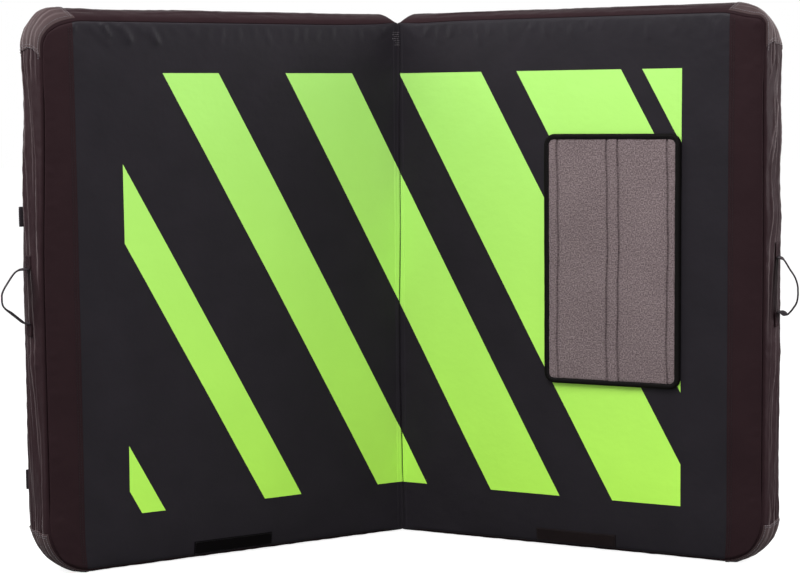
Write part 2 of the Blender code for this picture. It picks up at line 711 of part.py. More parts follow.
def add_carpet(build, half):
    """Carpet mat with its bound edge, bent to the landing face."""
    low = (CARPET_FROM_FOLD, CARPET_LOW)
    high = (CARPET_FROM_FOLD + CARPET_WIDTH, CARPET_LOW + CARPET_LENGTH)
    inner_low = [value + BINDING_WIDTH for value in low]
    inner_high = [value - BINDING_WIDTH for value in high]
    rim = rounded_rectangle(low, high, CARPET_CORNER, CARPET_SEGMENTS)
    hole = rounded_rectangle(inner_low, inner_high, CARPET_CORNER - BINDING_WIDTH, CARPET_SEGMENTS)
    binding = stand_up(outline_mesh([rim, hole], BINDING_THICKNESS), -FACE_CLEARANCE - BINDING_THICKNESS)
    follow_crown(binding)
    build.piece(half.name + "_carpet_binding", binding, half, "binding")
    mat_low = [value + GAP for value in inner_low]
    mat_high = [value - GAP for value in inner_high]
    outline = rounded_rectangle(mat_low, mat_high, CARPET_CORNER - BINDING_WIDTH - GAP, CARPET_SEGMENTS)
    mat = stand_up(outline_mesh([outline], CARPET_THICKNESS), -FACE_CLEARANCE - CARPET_THICKNESS)
    follow_crown(mat)
    build.piece(half.name + "_carpet_mat", mat, half, "carpet")


def add_welt(build, half):
    """Round sewn welt along the fold line, on the hinge axis."""
    low, high = INNER_CORNER, PAD_HEIGHT - TOP_DRAW - INNER_CORNER
    bm = bmesh.new()
    bmesh.ops.create_cone(bm, cap_ends=True, segments=WELT_SIDES, radius1=WELT_RADIUS, radius2=WELT_RADIUS,
                          depth=high - low)
    bmesh.ops.translate(bm, vec=(0, 0, (low + high) / 2), verts=bm.verts)
    build.piece("fold_welt", bm, half, "shell")


def settle(build, origin):
    """Stand the whole object with the bottom centre of its bounds on the world's origin."""
    graph = bpy.context.evaluated_depsgraph_get()
    corners = []
    for obj in build.collection.objects:
        if obj.type == 'MESH':
            solid = obj.evaluated_get(graph)
            corners += [solid.matrix_world @ vert.co for vert in solid.data.vertices]
    low = Vector([min(corner[axis] for corner in corners) for axis in range(3)])
    high = Vector([max(corner[axis] for corner in corners) for axis in range(3)])
    origin.location = (-(low.x + high.x) / 2, -(low.y + high.y) / 2, -low.z)


def main():
    """Build the pad."""
    clear_scene()
    build = Builder()
    turn = math.radians(HALF_TURN_DEG)
    origin = build.empty("pad_origin")
    left = Half("left", -1, build.empty("left_frame", origin, turn=turn))
    right = Half("right", 1, build.empty("right_frame", origin, turn=-turn))
    for half in (left, right):
        add_foam(build, half)
        add_shell(build, half)
        add_hand_loop(build, half)
        add_face_tab(build, half)
        add_zip(build, half)
        add_closure(build, half)
    add_welt(build, left)
    add_carpet(build, right)
    add_harness(build, left)
    bpy.context.view_layer.update()
    settle(build, origin)
    bpy.context.view_layer.update()


main()
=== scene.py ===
"""Bouldering crash pad standing half open on its long edge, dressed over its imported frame.

Each half is made in its own frame: u runs from the fold out to the end, w from the landing face back
through the thickness, and z up. Everything is in metres.
"""

import json
import logging
import math
from dataclasses import dataclass, field
from enum import Enum
from typing import Callable

import bmesh
import bpy
import numpy as np
from mathutils import Matrix, Vector


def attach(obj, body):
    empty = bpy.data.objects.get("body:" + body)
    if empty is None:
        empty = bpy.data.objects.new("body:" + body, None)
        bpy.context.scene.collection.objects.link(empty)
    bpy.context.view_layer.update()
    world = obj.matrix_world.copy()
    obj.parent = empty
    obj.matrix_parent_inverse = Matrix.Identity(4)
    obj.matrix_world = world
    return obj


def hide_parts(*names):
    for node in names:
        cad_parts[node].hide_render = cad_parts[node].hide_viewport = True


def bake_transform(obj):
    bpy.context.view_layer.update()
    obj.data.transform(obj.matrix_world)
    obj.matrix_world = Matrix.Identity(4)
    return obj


LOG = logging.getLogger("crash_pad")
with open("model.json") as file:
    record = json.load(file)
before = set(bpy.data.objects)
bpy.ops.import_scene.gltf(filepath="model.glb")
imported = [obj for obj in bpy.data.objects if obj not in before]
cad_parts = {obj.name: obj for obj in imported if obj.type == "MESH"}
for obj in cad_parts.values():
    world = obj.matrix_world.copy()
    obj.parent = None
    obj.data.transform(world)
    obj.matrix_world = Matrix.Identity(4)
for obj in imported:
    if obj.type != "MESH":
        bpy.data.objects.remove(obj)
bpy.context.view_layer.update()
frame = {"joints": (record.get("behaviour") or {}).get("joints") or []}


class Rim(Enum):
    """The four strips of the gusset, by the edge of the plan that they stand on."""

    TOP = "top"
    END = "end"
    BOTTOM = "bottom"
    INNER = "inner"


class Weave(Enum):
    """How the threads of a cloth cross."""

    PLAIN = "plain"
    TWILL = "twill"
    RIB = "rib"


# ---------------------------------------------------------------- colours and nodes


def linear(code: str) -> tuple[float, float, float, float]:
    """Turn an sRGB hex colour into the linear values of a colour socket."""
    values = [int(code[i:i + 2], 16) / 255 for i in (0, 2, 4)]
    curve = [v / 12.92 if v <= 0.04045 else ((v + 0.055) / 1.055) ** 2.4 for v in values]
    return (curve[0], curve[1], curve[2], 1.0)


def feed(tree: bpy.types.NodeTree, node: bpy.types.Node, inputs: dict) -> None:
    """Set or link a node's inputs.

    Args:
        tree: the node's tree.
        node: the node.
        inputs: by name or number, a value, an output socket, or a node whose first live output is meant.
    """
    for key, value in inputs.items():
        if isinstance(value, bpy.types.Node):
            value = next(output for output in value.outputs if output.enabled)
        if isinstance(value, bpy.types.NodeSocket):
            tree.links.new(value, node.inputs[key])
        else:
            node.inputs[key].default_value = value


def add_node(tree: bpy.types.NodeTree, kind: str, settings: dict | None = None,
             inputs: dict | None = None) -> bpy.types.Node:
    """Add a node with its settings and links.

    Args:
        tree: node tree that gets the node.
        kind: the node's type name.
        settings: the node's own settings, by name.
        inputs: what its inputs are fed.

    Returns:
        The new node.
    """
    node = tree.nodes.new(kind)
    for name, value in (settings or {}).items():
        setattr(node, name, value)
    feed(tree, node, inputs or {})
    return node


def speckle(tree: bpy.types.NodeTree, plan: bpy.types.Node | bpy.types.NodeSocket, grain_mm: float,
            detail: float = 3.0) -> bpy.types.Node:
    """Draw an uneven pattern whose grains have a real size.

    Args:
        tree: node tree that gets the pattern.
        plan: coordinates in metres.
        grain_mm: size of one grain.
        detail: octaves of finer grain.

    Returns:
        The node that gives it, from 0 to 1.
    """
    spread = add_node(tree, "ShaderNodeVectorMath", {"operation": 'SCALE'}, {0: plan, "Scale": 1000 / grain_mm})
    return add_node(tree, "ShaderNodeTexNoise", None, {"Vector": spread, "Scale": 1.0, "Detail": detail})


def threads(tree: bpy.types.NodeTree, plan: bpy.types.Node, pitch_mm: float, weave: Weave) -> bpy.types.Node:
    """Draw the height of crossing threads.

    Args:
        tree: node tree that gets the pattern.
        plan: coordinates in metres across and along the cloth.
        pitch_mm: distance between threads.
        weave: how the threads cross.

    Returns:
        The node that gives it, from 0 to 1.
    """
    spread = add_node(tree, "ShaderNodeVectorMath", {"operation": 'SCALE'},
                      {0: plan, "Scale": 2 * math.pi * 1000 / pitch_mm})
    axes = add_node(tree, "ShaderNodeSeparateXYZ", None, {0: spread})
    first, second = axes.outputs[0], axes.outputs[1]
    if weave is Weave.TWILL:
        first = add_node(tree, "ShaderNodeMath", {"operation": 'ADD'}, {0: first, 1: second})
    wave = add_node(tree, "ShaderNodeMath", {"operation": 'SINE'}, {0: first})
    if weave is Weave.PLAIN:
        cross = add_node(tree, "ShaderNodeMath", {"operation": 'SINE'}, {0: second})
        wave = add_node(tree, "ShaderNodeMath", {"operation": 'MULTIPLY'}, {0: wave, 1: cross})
    return add_node(tree, "ShaderNodeMath", {"operation": 'MULTIPLY_ADD'}, {0: wave, 1: 0.5, 2: 0.5})


# ---------------------------------------------------------------- finishes


@dataclass(frozen=True)
class Finish:
    """A material known by its name, with a main colour and a second one."""

    name: str
    colour: str
    second_colour: str

    def shading(self, tree: bpy.types.NodeTree) -> dict:
        """What the shader's inputs are fed."""
        raise NotImplementedError

    def build(self) -> bpy.types.Material:
        """Make the material."""
        material = bpy.data.materials.new(self.name)
        material.use_nodes = True
        tree = material.node_tree
        feed(tree, tree.nodes["Principled BSDF"], self.shading(tree))
        return material


@dataclass(frozen=True)
class Cloth(Finish):
    """Woven or knitted polyester or nylon, dyed and finished, with its threads in relief."""

    pitch_mm: float = 2.0
    weave: Weave = Weave.PLAIN
    roughness: float = 0.75
    relief: float = 0.25
    crumple: float = 0.3
    sheen: float = 0.0
    specular: float = 0.2
    # pale colour painted along the crests as a painted highlight in place of their glints, how much of it is mixed in,
    # and the sheen that the crests also get
    crease: str = "a39495"
    highlight_strength: float = 0.42
    raised_nap: float = 0.9
    nap_roughness: float = 0.3

    def dye(self, tree: bpy.types.NodeTree, plan: bpy.types.Node, rubbed: bpy.types.NodeSocket) -> bpy.types.Node:
        """Dyed colour with a slow drift and paler thread crowns, and a pale colour painted along its crests as a
        painted highlight.
        """
        grain = add_node(tree, "ShaderNodeMath", {"operation": 'MULTIPLY'},
                         {0: threads(tree, plan, self.pitch_mm, self.weave), 1: 0.3})
        share = add_node(tree, "ShaderNodeMath", {"operation": 'MULTIPLY_ADD'},
                         {0: speckle(tree, plan, 70, 3), 1: 0.55, 2: grain})
        dyed = add_node(tree, "ShaderNodeMix", {"data_type": 'RGBA'},
                        {0: share, 6: linear(self.colour), 7: linear(self.second_colour)})
        # painted highlight: the crest mask mixes the pale colour into the crests
        pale = add_node(tree, "ShaderNodeMath", {"operation": 'MULTIPLY'}, {0: rubbed, 1: self.highlight_strength})
        return add_node(tree, "ShaderNodeMix", {"data_type": 'RGBA'}, {0: pale, 6: dyed, 7: linear(self.crease)})

    def shading(self, tree: bpy.types.NodeTree) -> dict:
        """Dye, nap and gloss, with bump from the threads and from fine crumpling."""
        plan = add_node(tree, "ShaderNodeUVMap", {"uv_map": "cloth"})
        # mask of the painted crest highlight, which also raises the sheen on the crests
        rubbed = add_node(tree, "ShaderNodeAttribute", {"attribute_name": "rubbed"}).outputs["Fac"]
        nap = add_node(tree, "ShaderNodeMath", {"operation": 'MULTIPLY_ADD'},
                       {0: rubbed, 1: self.raised_nap, 2: self.sheen})
        rough = add_node(tree, "ShaderNodeMath", {"operation": 'MULTIPLY_ADD'},
                         {0: speckle(tree, plan, 22, 4), 1: 0.16, 2: self.roughness - 0.08})
        soft = add_node(tree, "ShaderNodeBump", None,
                        {"Strength": self.crumple, "Distance": 0.003, "Height": speckle(tree, plan, 16, 4)})
        fine = add_node(tree, "ShaderNodeBump", None,
                        {"Strength": self.relief, "Distance": 0.0004, "Normal": soft,
                         "Height": threads(tree, plan, self.pitch_mm, self.weave)})
        return {"Base Color": self.dye(tree, plan, rubbed), "Roughness": rough, "Normal": fine, "Sheen Weight": nap,
                "Sheen Roughness": self.nap_roughness, "Specular IOR Level": self.specular}


@dataclass(frozen=True)
class PrintedCloth(Cloth):
    """Coated polyester, screen printed in one bright ink: slanting stripes that widen across the pad."""

    # the ink's colour differs between the top and the bottom as painted light
    ink: str = "a5dc71"
    ink_low: str = "b4f058"
    ink_worn: str = "96ce4e"
    reach: float = 0.567
    low: float = 0.098
    high: float = 0.886
    stripe: float = 0.245
    slant: float = 0.55
    growing: tuple[float, float] = (-0.50, 0.95)
    ink_share: tuple[float, float] = (0.16, 0.84)

    def dye(self, tree: bpy.types.NodeTree, plan: bpy.types.Node, rubbed: bpy.types.NodeSocket) -> bpy.types.Node:
        """Ink stripes inside a square frame, on the dyed ground."""
        axes = add_node(tree, "ShaderNodeSeparateXYZ", None, {0: plan})
        across, up = axes.outputs[0], axes.outputs[1]
        run = add_node(tree, "ShaderNodeMath", {"operation": 'MULTIPLY_ADD'}, {0: up, 1: self.slant, 2: across})
        turns = add_node(tree, "ShaderNodeMath", {"operation": 'DIVIDE'}, {0: run, 1: self.stripe})
        phase = add_node(tree, "ShaderNodeMath", {"operation": 'FRACT'}, {0: turns})
        growth = add_node(tree, "ShaderNodeMapRange", None,
                          {"Value": run, "From Min": self.growing[0], "From Max": self.growing[1],
                           "To Min": self.ink_share[0], "To Max": self.ink_share[1]})
        inked = add_node(tree, "ShaderNodeMath", {"operation": 'LESS_THAN'}, {0: phase, 1: growth})
        away = add_node(tree, "ShaderNodeMath", {"operation": 'ABSOLUTE'}, {0: across})
        for operation, value, limit in (('LESS_THAN', away, self.reach), ('LESS_THAN', up, self.high),
                                        ('GREATER_THAN', up, self.low)):
            test = add_node(tree, "ShaderNodeMath", {"operation": operation}, {0: value, 1: limit})
            inked = add_node(tree, "ShaderNodeMath", {"operation": 'MULTIPLY'}, {0: inked, 1: test})
        # painted light: the ink runs from a brighter green at the bottom to a bluer colour at the top, evening out the
        # lamps' fall-off and painting in a bluish reflected haze at the top
        fade = add_node(tree, "ShaderNodeMapRange", None, {"Value": up, "From Min": self.low, "From Max": self.high})
        ink = add_node(tree, "ShaderNodeMix", {"data_type": 'RGBA'},
                       {0: fade, 6: linear(self.ink_low), 7: linear(self.ink)})
        thin = add_node(tree, "ShaderNodeMath", {"operation": 'MULTIPLY'}, {0: speckle(tree, plan, 60, 3), 1: 0.2})
        ink = add_node(tree, "ShaderNodeMix", {"data_type": 'RGBA'}, {0: thin, 6: ink, 7: linear(self.ink_worn)})
        return add_node(tree, "ShaderNodeMix", {"data_type": 'RGBA'},
                        {0: inked, 6: super().dye(tree, plan, rubbed), 7: ink})


@dataclass(frozen=True)
class LoopPile(Cloth):
    """Looped carpet: speckled yarn ends of two greys, matt and rough."""

    yarn_mm: float = 2.5

    def dye(self, tree: bpy.types.NodeTree, plan: bpy.types.Node, rubbed: bpy.types.NodeSocket) -> bpy.types.Node:
        """Yarn speckle over a slow drift, without the painted crest highlight."""
        sharp = add_node(tree, "ShaderNodeMapRange", None,
                         {"Value": speckle(tree, plan, self.yarn_mm, 2), "From Min": 0.34, "From Max": 0.66})
        part = add_node(tree, "ShaderNodeMath", {"operation": 'MULTIPLY'}, {0: sharp, 1: 0.75})
        share = add_node(tree, "ShaderNodeMath", {"operation": 'MULTIPLY_ADD'},
                         {0: speckle(tree, plan, 90, 2), 1: 0.25, 2: part})
        return add_node(tree, "ShaderNodeMix", {"data_type": 'RGBA'},
                        {0: share, 6: linear(self.colour), 7: linear(self.second_colour)})


@dataclass(frozen=True)
class Moulded(Finish):
    """Moulded or cast part with a fine grain and softened sheen, on Object coordinates."""

    roughness: float = 0.4
    metallic: float = 0.0
    grain_mm: float = 1.2
    relief: float = 0.15

    def shading(self, tree: bpy.types.NodeTree) -> dict:
        """Tint and gloss that drift slowly, with a grain in relief."""
        spot = add_node(tree, "ShaderNodeTexCoord").outputs["Object"]
        tint = add_node(tree, "ShaderNodeMix", {"data_type": 'RGBA'},
                        {0: speckle(tree, spot, 12, 3), 6: linear(self.colour), 7: linear(self.second_colour)})
        rough = add_node(tree, "ShaderNodeMath", {"operation": 'MULTIPLY_ADD'},
                         {0: speckle(tree, spot, 7, 3), 1: 0.2, 2: self.roughness - 0.1})
        bump = add_node(tree, "ShaderNodeBump", None, {"Strength": self.relief, "Distance": 0.0004,
                                                       "Height": speckle(tree, spot, self.grain_mm, 2)})
        return {"Base Color": tint, "Metallic": self.metallic, "Roughness": rough, "Normal": bump}


@dataclass(frozen=True)
class Cellular(Finish):
    """Foam with its cut cells showing as pits, on Object coordinates."""

    cell_mm: float = 2.0

    def shading(self, tree: bpy.types.NodeTree) -> dict:
        """Cells in the main colour, with the pits darkened in the second one as painted shade."""
        spot = add_node(tree, "ShaderNodeTexCoord").outputs["Object"]
        spread = add_node(tree, "ShaderNodeVectorMath", {"operation": 'SCALE'}, {0: spot, "Scale": 1000 / self.cell_mm})
        cells = add_node(tree, "ShaderNodeTexVoronoi", None, {"Vector": spread, "Scale": 1.0}).outputs[0]
        # painted shade: the pits take the darker second colour
        tint = add_node(tree, "ShaderNodeMix", {"data_type": 'RGBA'},
                        {0: cells, 6: linear(self.second_colour), 7: linear(self.colour)})
        bump = add_node(tree, "ShaderNodeBump", None, {"Strength": 0.5, "Distance": 0.001, "Height": cells})
        return {"Base Color": tint, "Roughness": 0.9, "Normal": bump}


@dataclass(frozen=True)
class PaleFloor(Finish):
    """Matt floor that the camera sees as white except under the pad."""

    glow: float = 0.86

    def shading(self, tree: bpy.types.NodeTree) -> dict:
        """One grey, with a glow for the camera alone."""
        path = add_node(tree, "ShaderNodeLightPath")
        glow = add_node(tree, "ShaderNodeMath", {"operation": 'MULTIPLY'},
                        {0: path.outputs["Is Camera Ray"], 1: self.glow})
        return {"Base Color": linear(self.colour), "Roughness": 0.9, "Emission Color": linear(self.second_colour),
                "Emission Strength": glow}


class Wardrobe:
    """Every finish of the pad, built once and handed out by name."""

    finishes = (
        # Coated polyester is smooth with a low gloss, and its threads only just show
        PrintedCloth("printed_coated_polyester", "151317", "252127", 1.6, Weave.PLAIN, 0.46, 0.08, 0.16, 0.0, 0.12),
        # Heavy basket-woven nylon is matt, drawn at twice its thread so that it shows
        Cloth("heavy_woven_nylon", "211619", "2f2124", 2.2, Weave.PLAIN, 0.46, 0.30, 0.16, 0.0, 0.02),
        # Undyed heavy nylon of the corner patches is paler and rougher
        Cloth("patch_ballistic_nylon", "33292a", "4f4142", 2.4, Weave.TWILL, 0.48, 0.45, 0.30, 0.0, 0.04),
        # Flat woven webbing has ribs along its length
        Cloth("woven_webbing", "241f22", "3a3539", 2.6, Weave.TWILL, 0.60, 0.5, 0.10, 0.0, 0.06),
        # Looped carpet is matt and speckled
        LoopPile("looped_carpet", "473b3d", "87797b", 2.2, Weave.PLAIN, 0.95, 0.4, 0.4, 0.0, 0.2),
        # Folded binding tape is a fine rib
        Cloth("binding_tape", "050404", "0c0909", 1.8, Weave.RIB, 0.72, 0.4, 0.15, 0.0, 0.08),
        # Hook tape is bristly and swallows light, and loop tape is brushed
        Cloth("hook_tape", "030203", "080607", 1.8, Weave.PLAIN, 0.9, 0.8, 0.2, 0.0, 0.05),
        Cloth("loop_tape", "120c0d", "1d1516", 2.0, Weave.TWILL, 0.9, 0.7, 0.3, 0.02, 0.1),
        # Sewing thread is dark on most seams and grey where it shows
        Cloth("dark_thread", "121013", "1f1c20", 0.8, Weave.TWILL, 0.6, 0.4, 0.0, 0.0, 0.25),
        Cloth("grey_thread", "575156", "7c767a", 0.8, Weave.TWILL, 0.5, 0.4, 0.0, 0.0, 0.3),
        # Spacer mesh over the shoulder padding is open and matt
        Cloth("spacer_mesh", "171416", "2c282c", 3.0, Weave.TWILL, 0.85, 0.8, 0.3, 0.05, 0.2),
        # Acetal buckles have a fine spark grain, and the zip's slider is a painted casting
        Moulded("moulded_acetal", "111112", "1a1a1c", 0.42),
        Moulded("cast_zinc_slider", "3a393c", "5d5c60", 0.38, 0.85, 0.8, 0.08),
        Moulded("nylon_coil", "131315", "202022", 0.45),
        # Closed-cell sheet is a dull blue-grey, and open-cell foam a pale straw with wider cells
        Cellular("closed_cell_foam", "4a5866", "39444f", 1.5),
        Cellular("open_cell_foam", "e4d9b4", "b9ac84", 2.2),
    )

    def __init__(self) -> None:
        """Build the materials."""
        self.made = {finish.name: finish.build() for finish in self.finishes}

    def __getitem__(self, name: str) -> bpy.types.Material:
        """Hand out one material."""
        return self.made[name]


# ---------------------------------------------------------------- meshes


def new_object(name: str, data: bpy.types.ID) -> bpy.types.Object:
    """Put data into the scene as an object."""
    obj = bpy.data.objects.new(name, data)
    bpy.context.scene.collection.objects.link(obj)
    return obj


def lerp(low: float, high: float, share):
    """Value part of the way between two others."""
    return low + (high - low) * share


def unit(vectors: np.ndarray) -> np.ndarray:
    """Bring vectors to length one."""
    return vectors / np.linalg.norm(vectors, axis=-1, keepdims=True)


def run_along(points: np.ndarray) -> np.ndarray:
    """Distance along a line at each of its points."""
    return np.concatenate(([0], np.cumsum(np.linalg.norm(np.diff(points, axis=0), axis=1))))


def points_at(u, w, z) -> np.ndarray:
    """Points from three coordinates, each an array or one value for all."""
    return np.stack(np.broadcast_arrays(u, w, z), -1)


def smooth_step(values: np.ndarray) -> np.ndarray:
    """Ease values from 0 to 1."""
    share = np.clip(values, 0, 1)
    return share * share * (3 - 2 * share)


def graded(low: float, high: float, fine: float, coarse: float, ease: float = 1.35) -> np.ndarray:
    """Space values finely at both ends and coarsely between.

    Args:
        low: first value.
        high: last value.
        fine: step at the ends.
        coarse: largest step.
        ease: growth from one step to the next.

    Returns:
        Rising values from low to high.
    """
    steps, step, used = [], fine, 0.0
    while used + step < (high - low) / 2 and step < coarse:
        steps.append(step)
        used += step
        step *= ease
    middle = high - low - 2 * used
    count = max(1, round(middle / coarse))
    steps = steps + [middle / count] * count + steps[::-1]
    return low + np.concatenate(([0.0], np.cumsum(steps)))


def mesh_object(name: str, points: np.ndarray, faces: list, cloth: np.ndarray,
                material: bpy.types.Material) -> bpy.types.Object:
    """Make a smooth mesh object whose cloth map holds metres.

    Args:
        name: piece name.
        points: vertex places in the row frame.
        faces: vertex numbers of each face.
        cloth: two coordinates in metres for each vertex.
        material: its finish.

    Returns:
        The new object, at the origin.
    """
    mesh = bpy.data.meshes.new(name)
    mesh.from_pydata(np.asarray(points).reshape(-1, 3).tolist(), [], faces)
    mesh.update()
    layer = mesh.uv_layers.new(name="cloth")
    corner = np.zeros(len(mesh.loops), int)
    mesh.loops.foreach_get("vertex_index", corner)
    layer.data.foreach_set("uv", np.asarray(cloth, float).reshape(-1, 2)[corner].astype(np.float32).ravel())
    mesh.shade_smooth()
    mesh.materials.append(material)
    return new_object(name, mesh)


def quads(rows: int, columns: int, flip: bool, closed: bool = False) -> list:
    """List the faces of a grid of points.

    Args:
        rows: number of rows.
        columns: number of columns.
        flip: turn the faces over.
        closed: join the last column to the first.

    Returns:
        Four vertex numbers for each face.
    """
    index = np.arange(rows * columns).reshape(rows, columns)
    if closed:
        index = np.concatenate((index, index[:, :1]), 1)
    found = np.stack((index[:-1, :-1], index[1:, :-1], index[1:, 1:], index[:-1, 1:]), -1).reshape(-1, 4)
    return (found[:, ::-1] if flip else found).tolist()


def add_wall(obj: bpy.types.Object, thickness: float, lining: bpy.types.Material | None = None) -> None:
    """Thicken a sheet inwards, with a finish of its own on the inner side where one is given."""
    wall = obj.modifiers.new("wall", 'SOLIDIFY')
    wall.thickness, wall.offset = thickness, -1
    if lining:
        obj.data.materials.append(lining)
        wall.material_offset = wall.material_offset_rim = 1


def face_forward(obj: bpy.types.Object, out: np.ndarray) -> None:
    """Turn a sheet over unless most of it faces a given way."""
    ahead = Vector(out)
    if sum(ahead.dot(face.normal) * face.area for face in obj.data.polygons) < 0:
        obj.data.flip_normals()


def sheet_object(name: str, half: "Half", grid: np.ndarray, cloth: np.ndarray, outward: tuple,
                 thickness: float, material: bpy.types.Material, lining: bpy.types.Material | None = None,
                 rubbed: np.ndarray | None = None) -> bpy.types.Object:
    """Make a cloth panel from a grid of points in a half's frame.

    Args:
        name: piece name.
        half: the half whose frame the grid is in.
        grid: points by row and column.
        cloth: cloth coordinates in metres, by row and column.
        outward: rough outward direction, in the half's frame.
        thickness: how far the panel's wall goes inwards.
        material: its finish.
        lining: finish of its inner side, where that differs.
        rubbed: how far each point gets the pale painted highlight of the crests, from 0 to 1.

    Returns:
        The new object.
    """
    places = half.world(grid)
    out = half.turned(np.array(outward, float))
    across, along = places[1:, :-1] - places[:-1, :-1], places[:-1, 1:] - places[:-1, :-1]
    facing = float((np.cross(across, along).reshape(-1, 3) @ out).sum())
    obj = mesh_object(name, places, quads(*grid.shape[:2], facing < 0), cloth, material)
    add_wall(obj, thickness, lining)
    # keep the mask of the painted crest highlight on the points
    if rubbed is not None:
        layer = obj.data.attributes.new("rubbed", 'FLOAT', 'POINT')
        layer.data.foreach_set("value", rubbed.astype(np.float32).ravel())
    return realised(obj)


def add_block(bm: bmesh.types.BMesh, low: tuple, high: tuple, bevel: float) -> None:
    """Add a block with rounded edges between two corners to a mesh."""
    made = bmesh.ops.create_cube(bm, size=1)["verts"]
    low, high = Vector(low), Vector(high)
    bmesh.ops.scale(bm, vec=high - low, verts=made)
    bmesh.ops.translate(bm, vec=(low + high) / 2, verts=made)
    edges = list(dict.fromkeys(edge for vert in made for edge in vert.link_edges))
    bmesh.ops.bevel(bm, geom=edges, offset=bevel, segments=2, profile=0.6, affect='EDGES')


def turn_outwards(bm: bmesh.types.BMesh) -> None:
    """Turn the faces of a closed mesh outwards."""
    bmesh.ops.recalc_face_normals(bm, faces=bm.faces)
    if bm.calc_volume(signed=True) < 0:
        bmesh.ops.reverse_faces(bm, faces=bm.faces)


def plate(outlines: list, front: float, depth: float, bevel: float = 0.0) -> bmesh.types.BMesh:
    """Stand flat outlines in u and z up as a plate whose inner side is at a given w.

    Returns:
        A closed mesh in a half's frame.
    """
    bm = extruded(outlines, depth)
    for vert in bm.verts:
        u, z, w = vert.co
        vert.co = (u, front + w, z)
    bmesh.ops.dissolve_limit(bm, angle_limit=0.02, verts=bm.verts, edges=bm.edges)
    if bevel:
        rims = [edge for edge in bm.edges if edge.is_manifold and edge.calc_face_angle() > 0.9
                and abs(edge.verts[0].co.y - edge.verts[1].co.y) < depth / 2]
        bmesh.ops.bevel(bm, geom=rims, offset=bevel, segments=2, profile=0.6, affect='EDGES', clamp_overlap=True)
    return bm


def joined(*meshes: bmesh.types.BMesh) -> bmesh.types.BMesh:
    """Put closed meshes together in the first one."""
    for other in meshes[1:]:
        loose = bpy.data.meshes.new("loose")
        other.to_mesh(loose)
        meshes[0].from_mesh(loose)
        bpy.data.meshes.remove(loose)
        other.free()
    return meshes[0]


def cross_box(low: tuple, high: tuple, count: int = 12) -> list:
    """Rows of a sewn box with a cross in it: pairs of arrays of the two coordinates."""
    (a, b), (c, d) = low, high
    lines = (((a, b), (a, d)), ((a, d), (c, d)), ((c, d), (c, b)), ((c, b), (a, b)), ((a, b), (c, d)), ((c, b), (a, d)))
    share = np.linspace(0, 1, count)
    return [(lerp(p, r, share), lerp(q, s, share)) for (p, q), (r, s) in lines]


def edge_gap(u: np.ndarray, z: np.ndarray, low: tuple, high: tuple) -> np.ndarray:
    """Distance of points inside a rectangle from its nearest side."""
    return np.minimum(np.minimum(u - low[0], high[0] - u), np.minimum(z - low[1], high[1] - z))


def solid_object(name: str, half: "Half", bm: bmesh.types.BMesh,
                 material: bpy.types.Material) -> bpy.types.Object:
    """Turn a closed mesh in a half's frame into a piece with outward faces.

    Returns:
        The new object, whose cloth map holds u and z in metres.
    """
    bmesh.ops.remove_doubles(bm, verts=bm.verts, dist=1e-6)
    local = np.array([vert.co for vert in bm.verts])
    for vert, place in zip(bm.verts, half.world(local)):
        vert.co = place
    turn_outwards(bm)
    mesh = bpy.data.meshes.new(name)
    layer = bm.loops.layers.uv.new("cloth")
    bm.verts.index_update()
    for face in bm.faces:
        for loop in face.loops:
            u, w, z = local[loop.vert.index]
            loop[layer].uv = (u + w, z)
    bm.to_mesh(mesh)
    bm.free()
    mesh.shade_smooth()
    mesh.set_sharp_from_angle(angle=math.radians(35))
    mesh.materials.append(material)
    return new_object(name, mesh)


def extruded(outlines: list, depth: float) -> bmesh.types.BMesh:
    """Fill flat outlines, of which later ones are holes, and give them a thickness along Z.

    Args:
        outlines: lists of (x, y) points.
        depth: thickness, from 0 up.

    Returns:
        A closed mesh.
    """
    curve = bpy.data.curves.new("outline", 'CURVE')
    curve.dimensions, curve.fill_mode, curve.extrude = '2D', 'BOTH', depth / 2
    for outline in outlines:
        spline = curve.splines.new('POLY')
        spline.points.add(len(outline) - 1)
        for point, (x, y) in zip(spline.points, outline):
            point.co = (x, y, 0, 1)
        spline.use_cyclic_u = True
    holder = new_object("outline", curve)
    mesh = bpy.data.meshes.new_from_object(holder.evaluated_get(bpy.context.evaluated_depsgraph_get()))
    bpy.data.objects.remove(holder)
    bpy.data.curves.remove(curve)
    bm = bmesh.new()
    bm.from_mesh(mesh)
    bpy.data.meshes.remove(mesh)
    bmesh.ops.remove_doubles(bm, verts=bm.verts, dist=1e-6)
    bmesh.ops.translate(bm, vec=(0, 0, depth / 2), verts=bm.verts)
    return bm


def rounded_outline(low: tuple, high: tuple, radius: float, segments: int = 6, inset: float = 0.0) -> list:
    """List the points of a rounded rectangle, drawn in on all sides, counter-clockwise."""
    points = []
    reach = radius
    radius -= inset
    centres = ((high[0] - reach, high[1] - reach), (low[0] + reach, high[1] - reach),
               (low[0] + reach, low[1] + reach), (high[0] - reach, low[1] + reach))
    for quarter, (x, y) in enumerate(centres):
        for step in range(segments + 1):
            angle = math.pi / 2 * (quarter + step / segments)
            points.append((x + radius * math.cos(angle), y + radius * math.sin(angle)))
    return points


def realised(obj: bpy.types.Object) -> bpy.types.Object:
    """Turn an object with live modifiers into one with a plain mesh.

    Returns:
        The same object, without modifiers.
    """
    graph = bpy.context.evaluated_depsgraph_get()
    mesh = bpy.data.meshes.new_from_object(obj.evaluated_get(graph), preserve_all_data_layers=True,
                                           depsgraph=graph)
    obj.modifiers.clear()
    obj.data = mesh
    return obj


# ---------------------------------------------------------------- rule-based trees


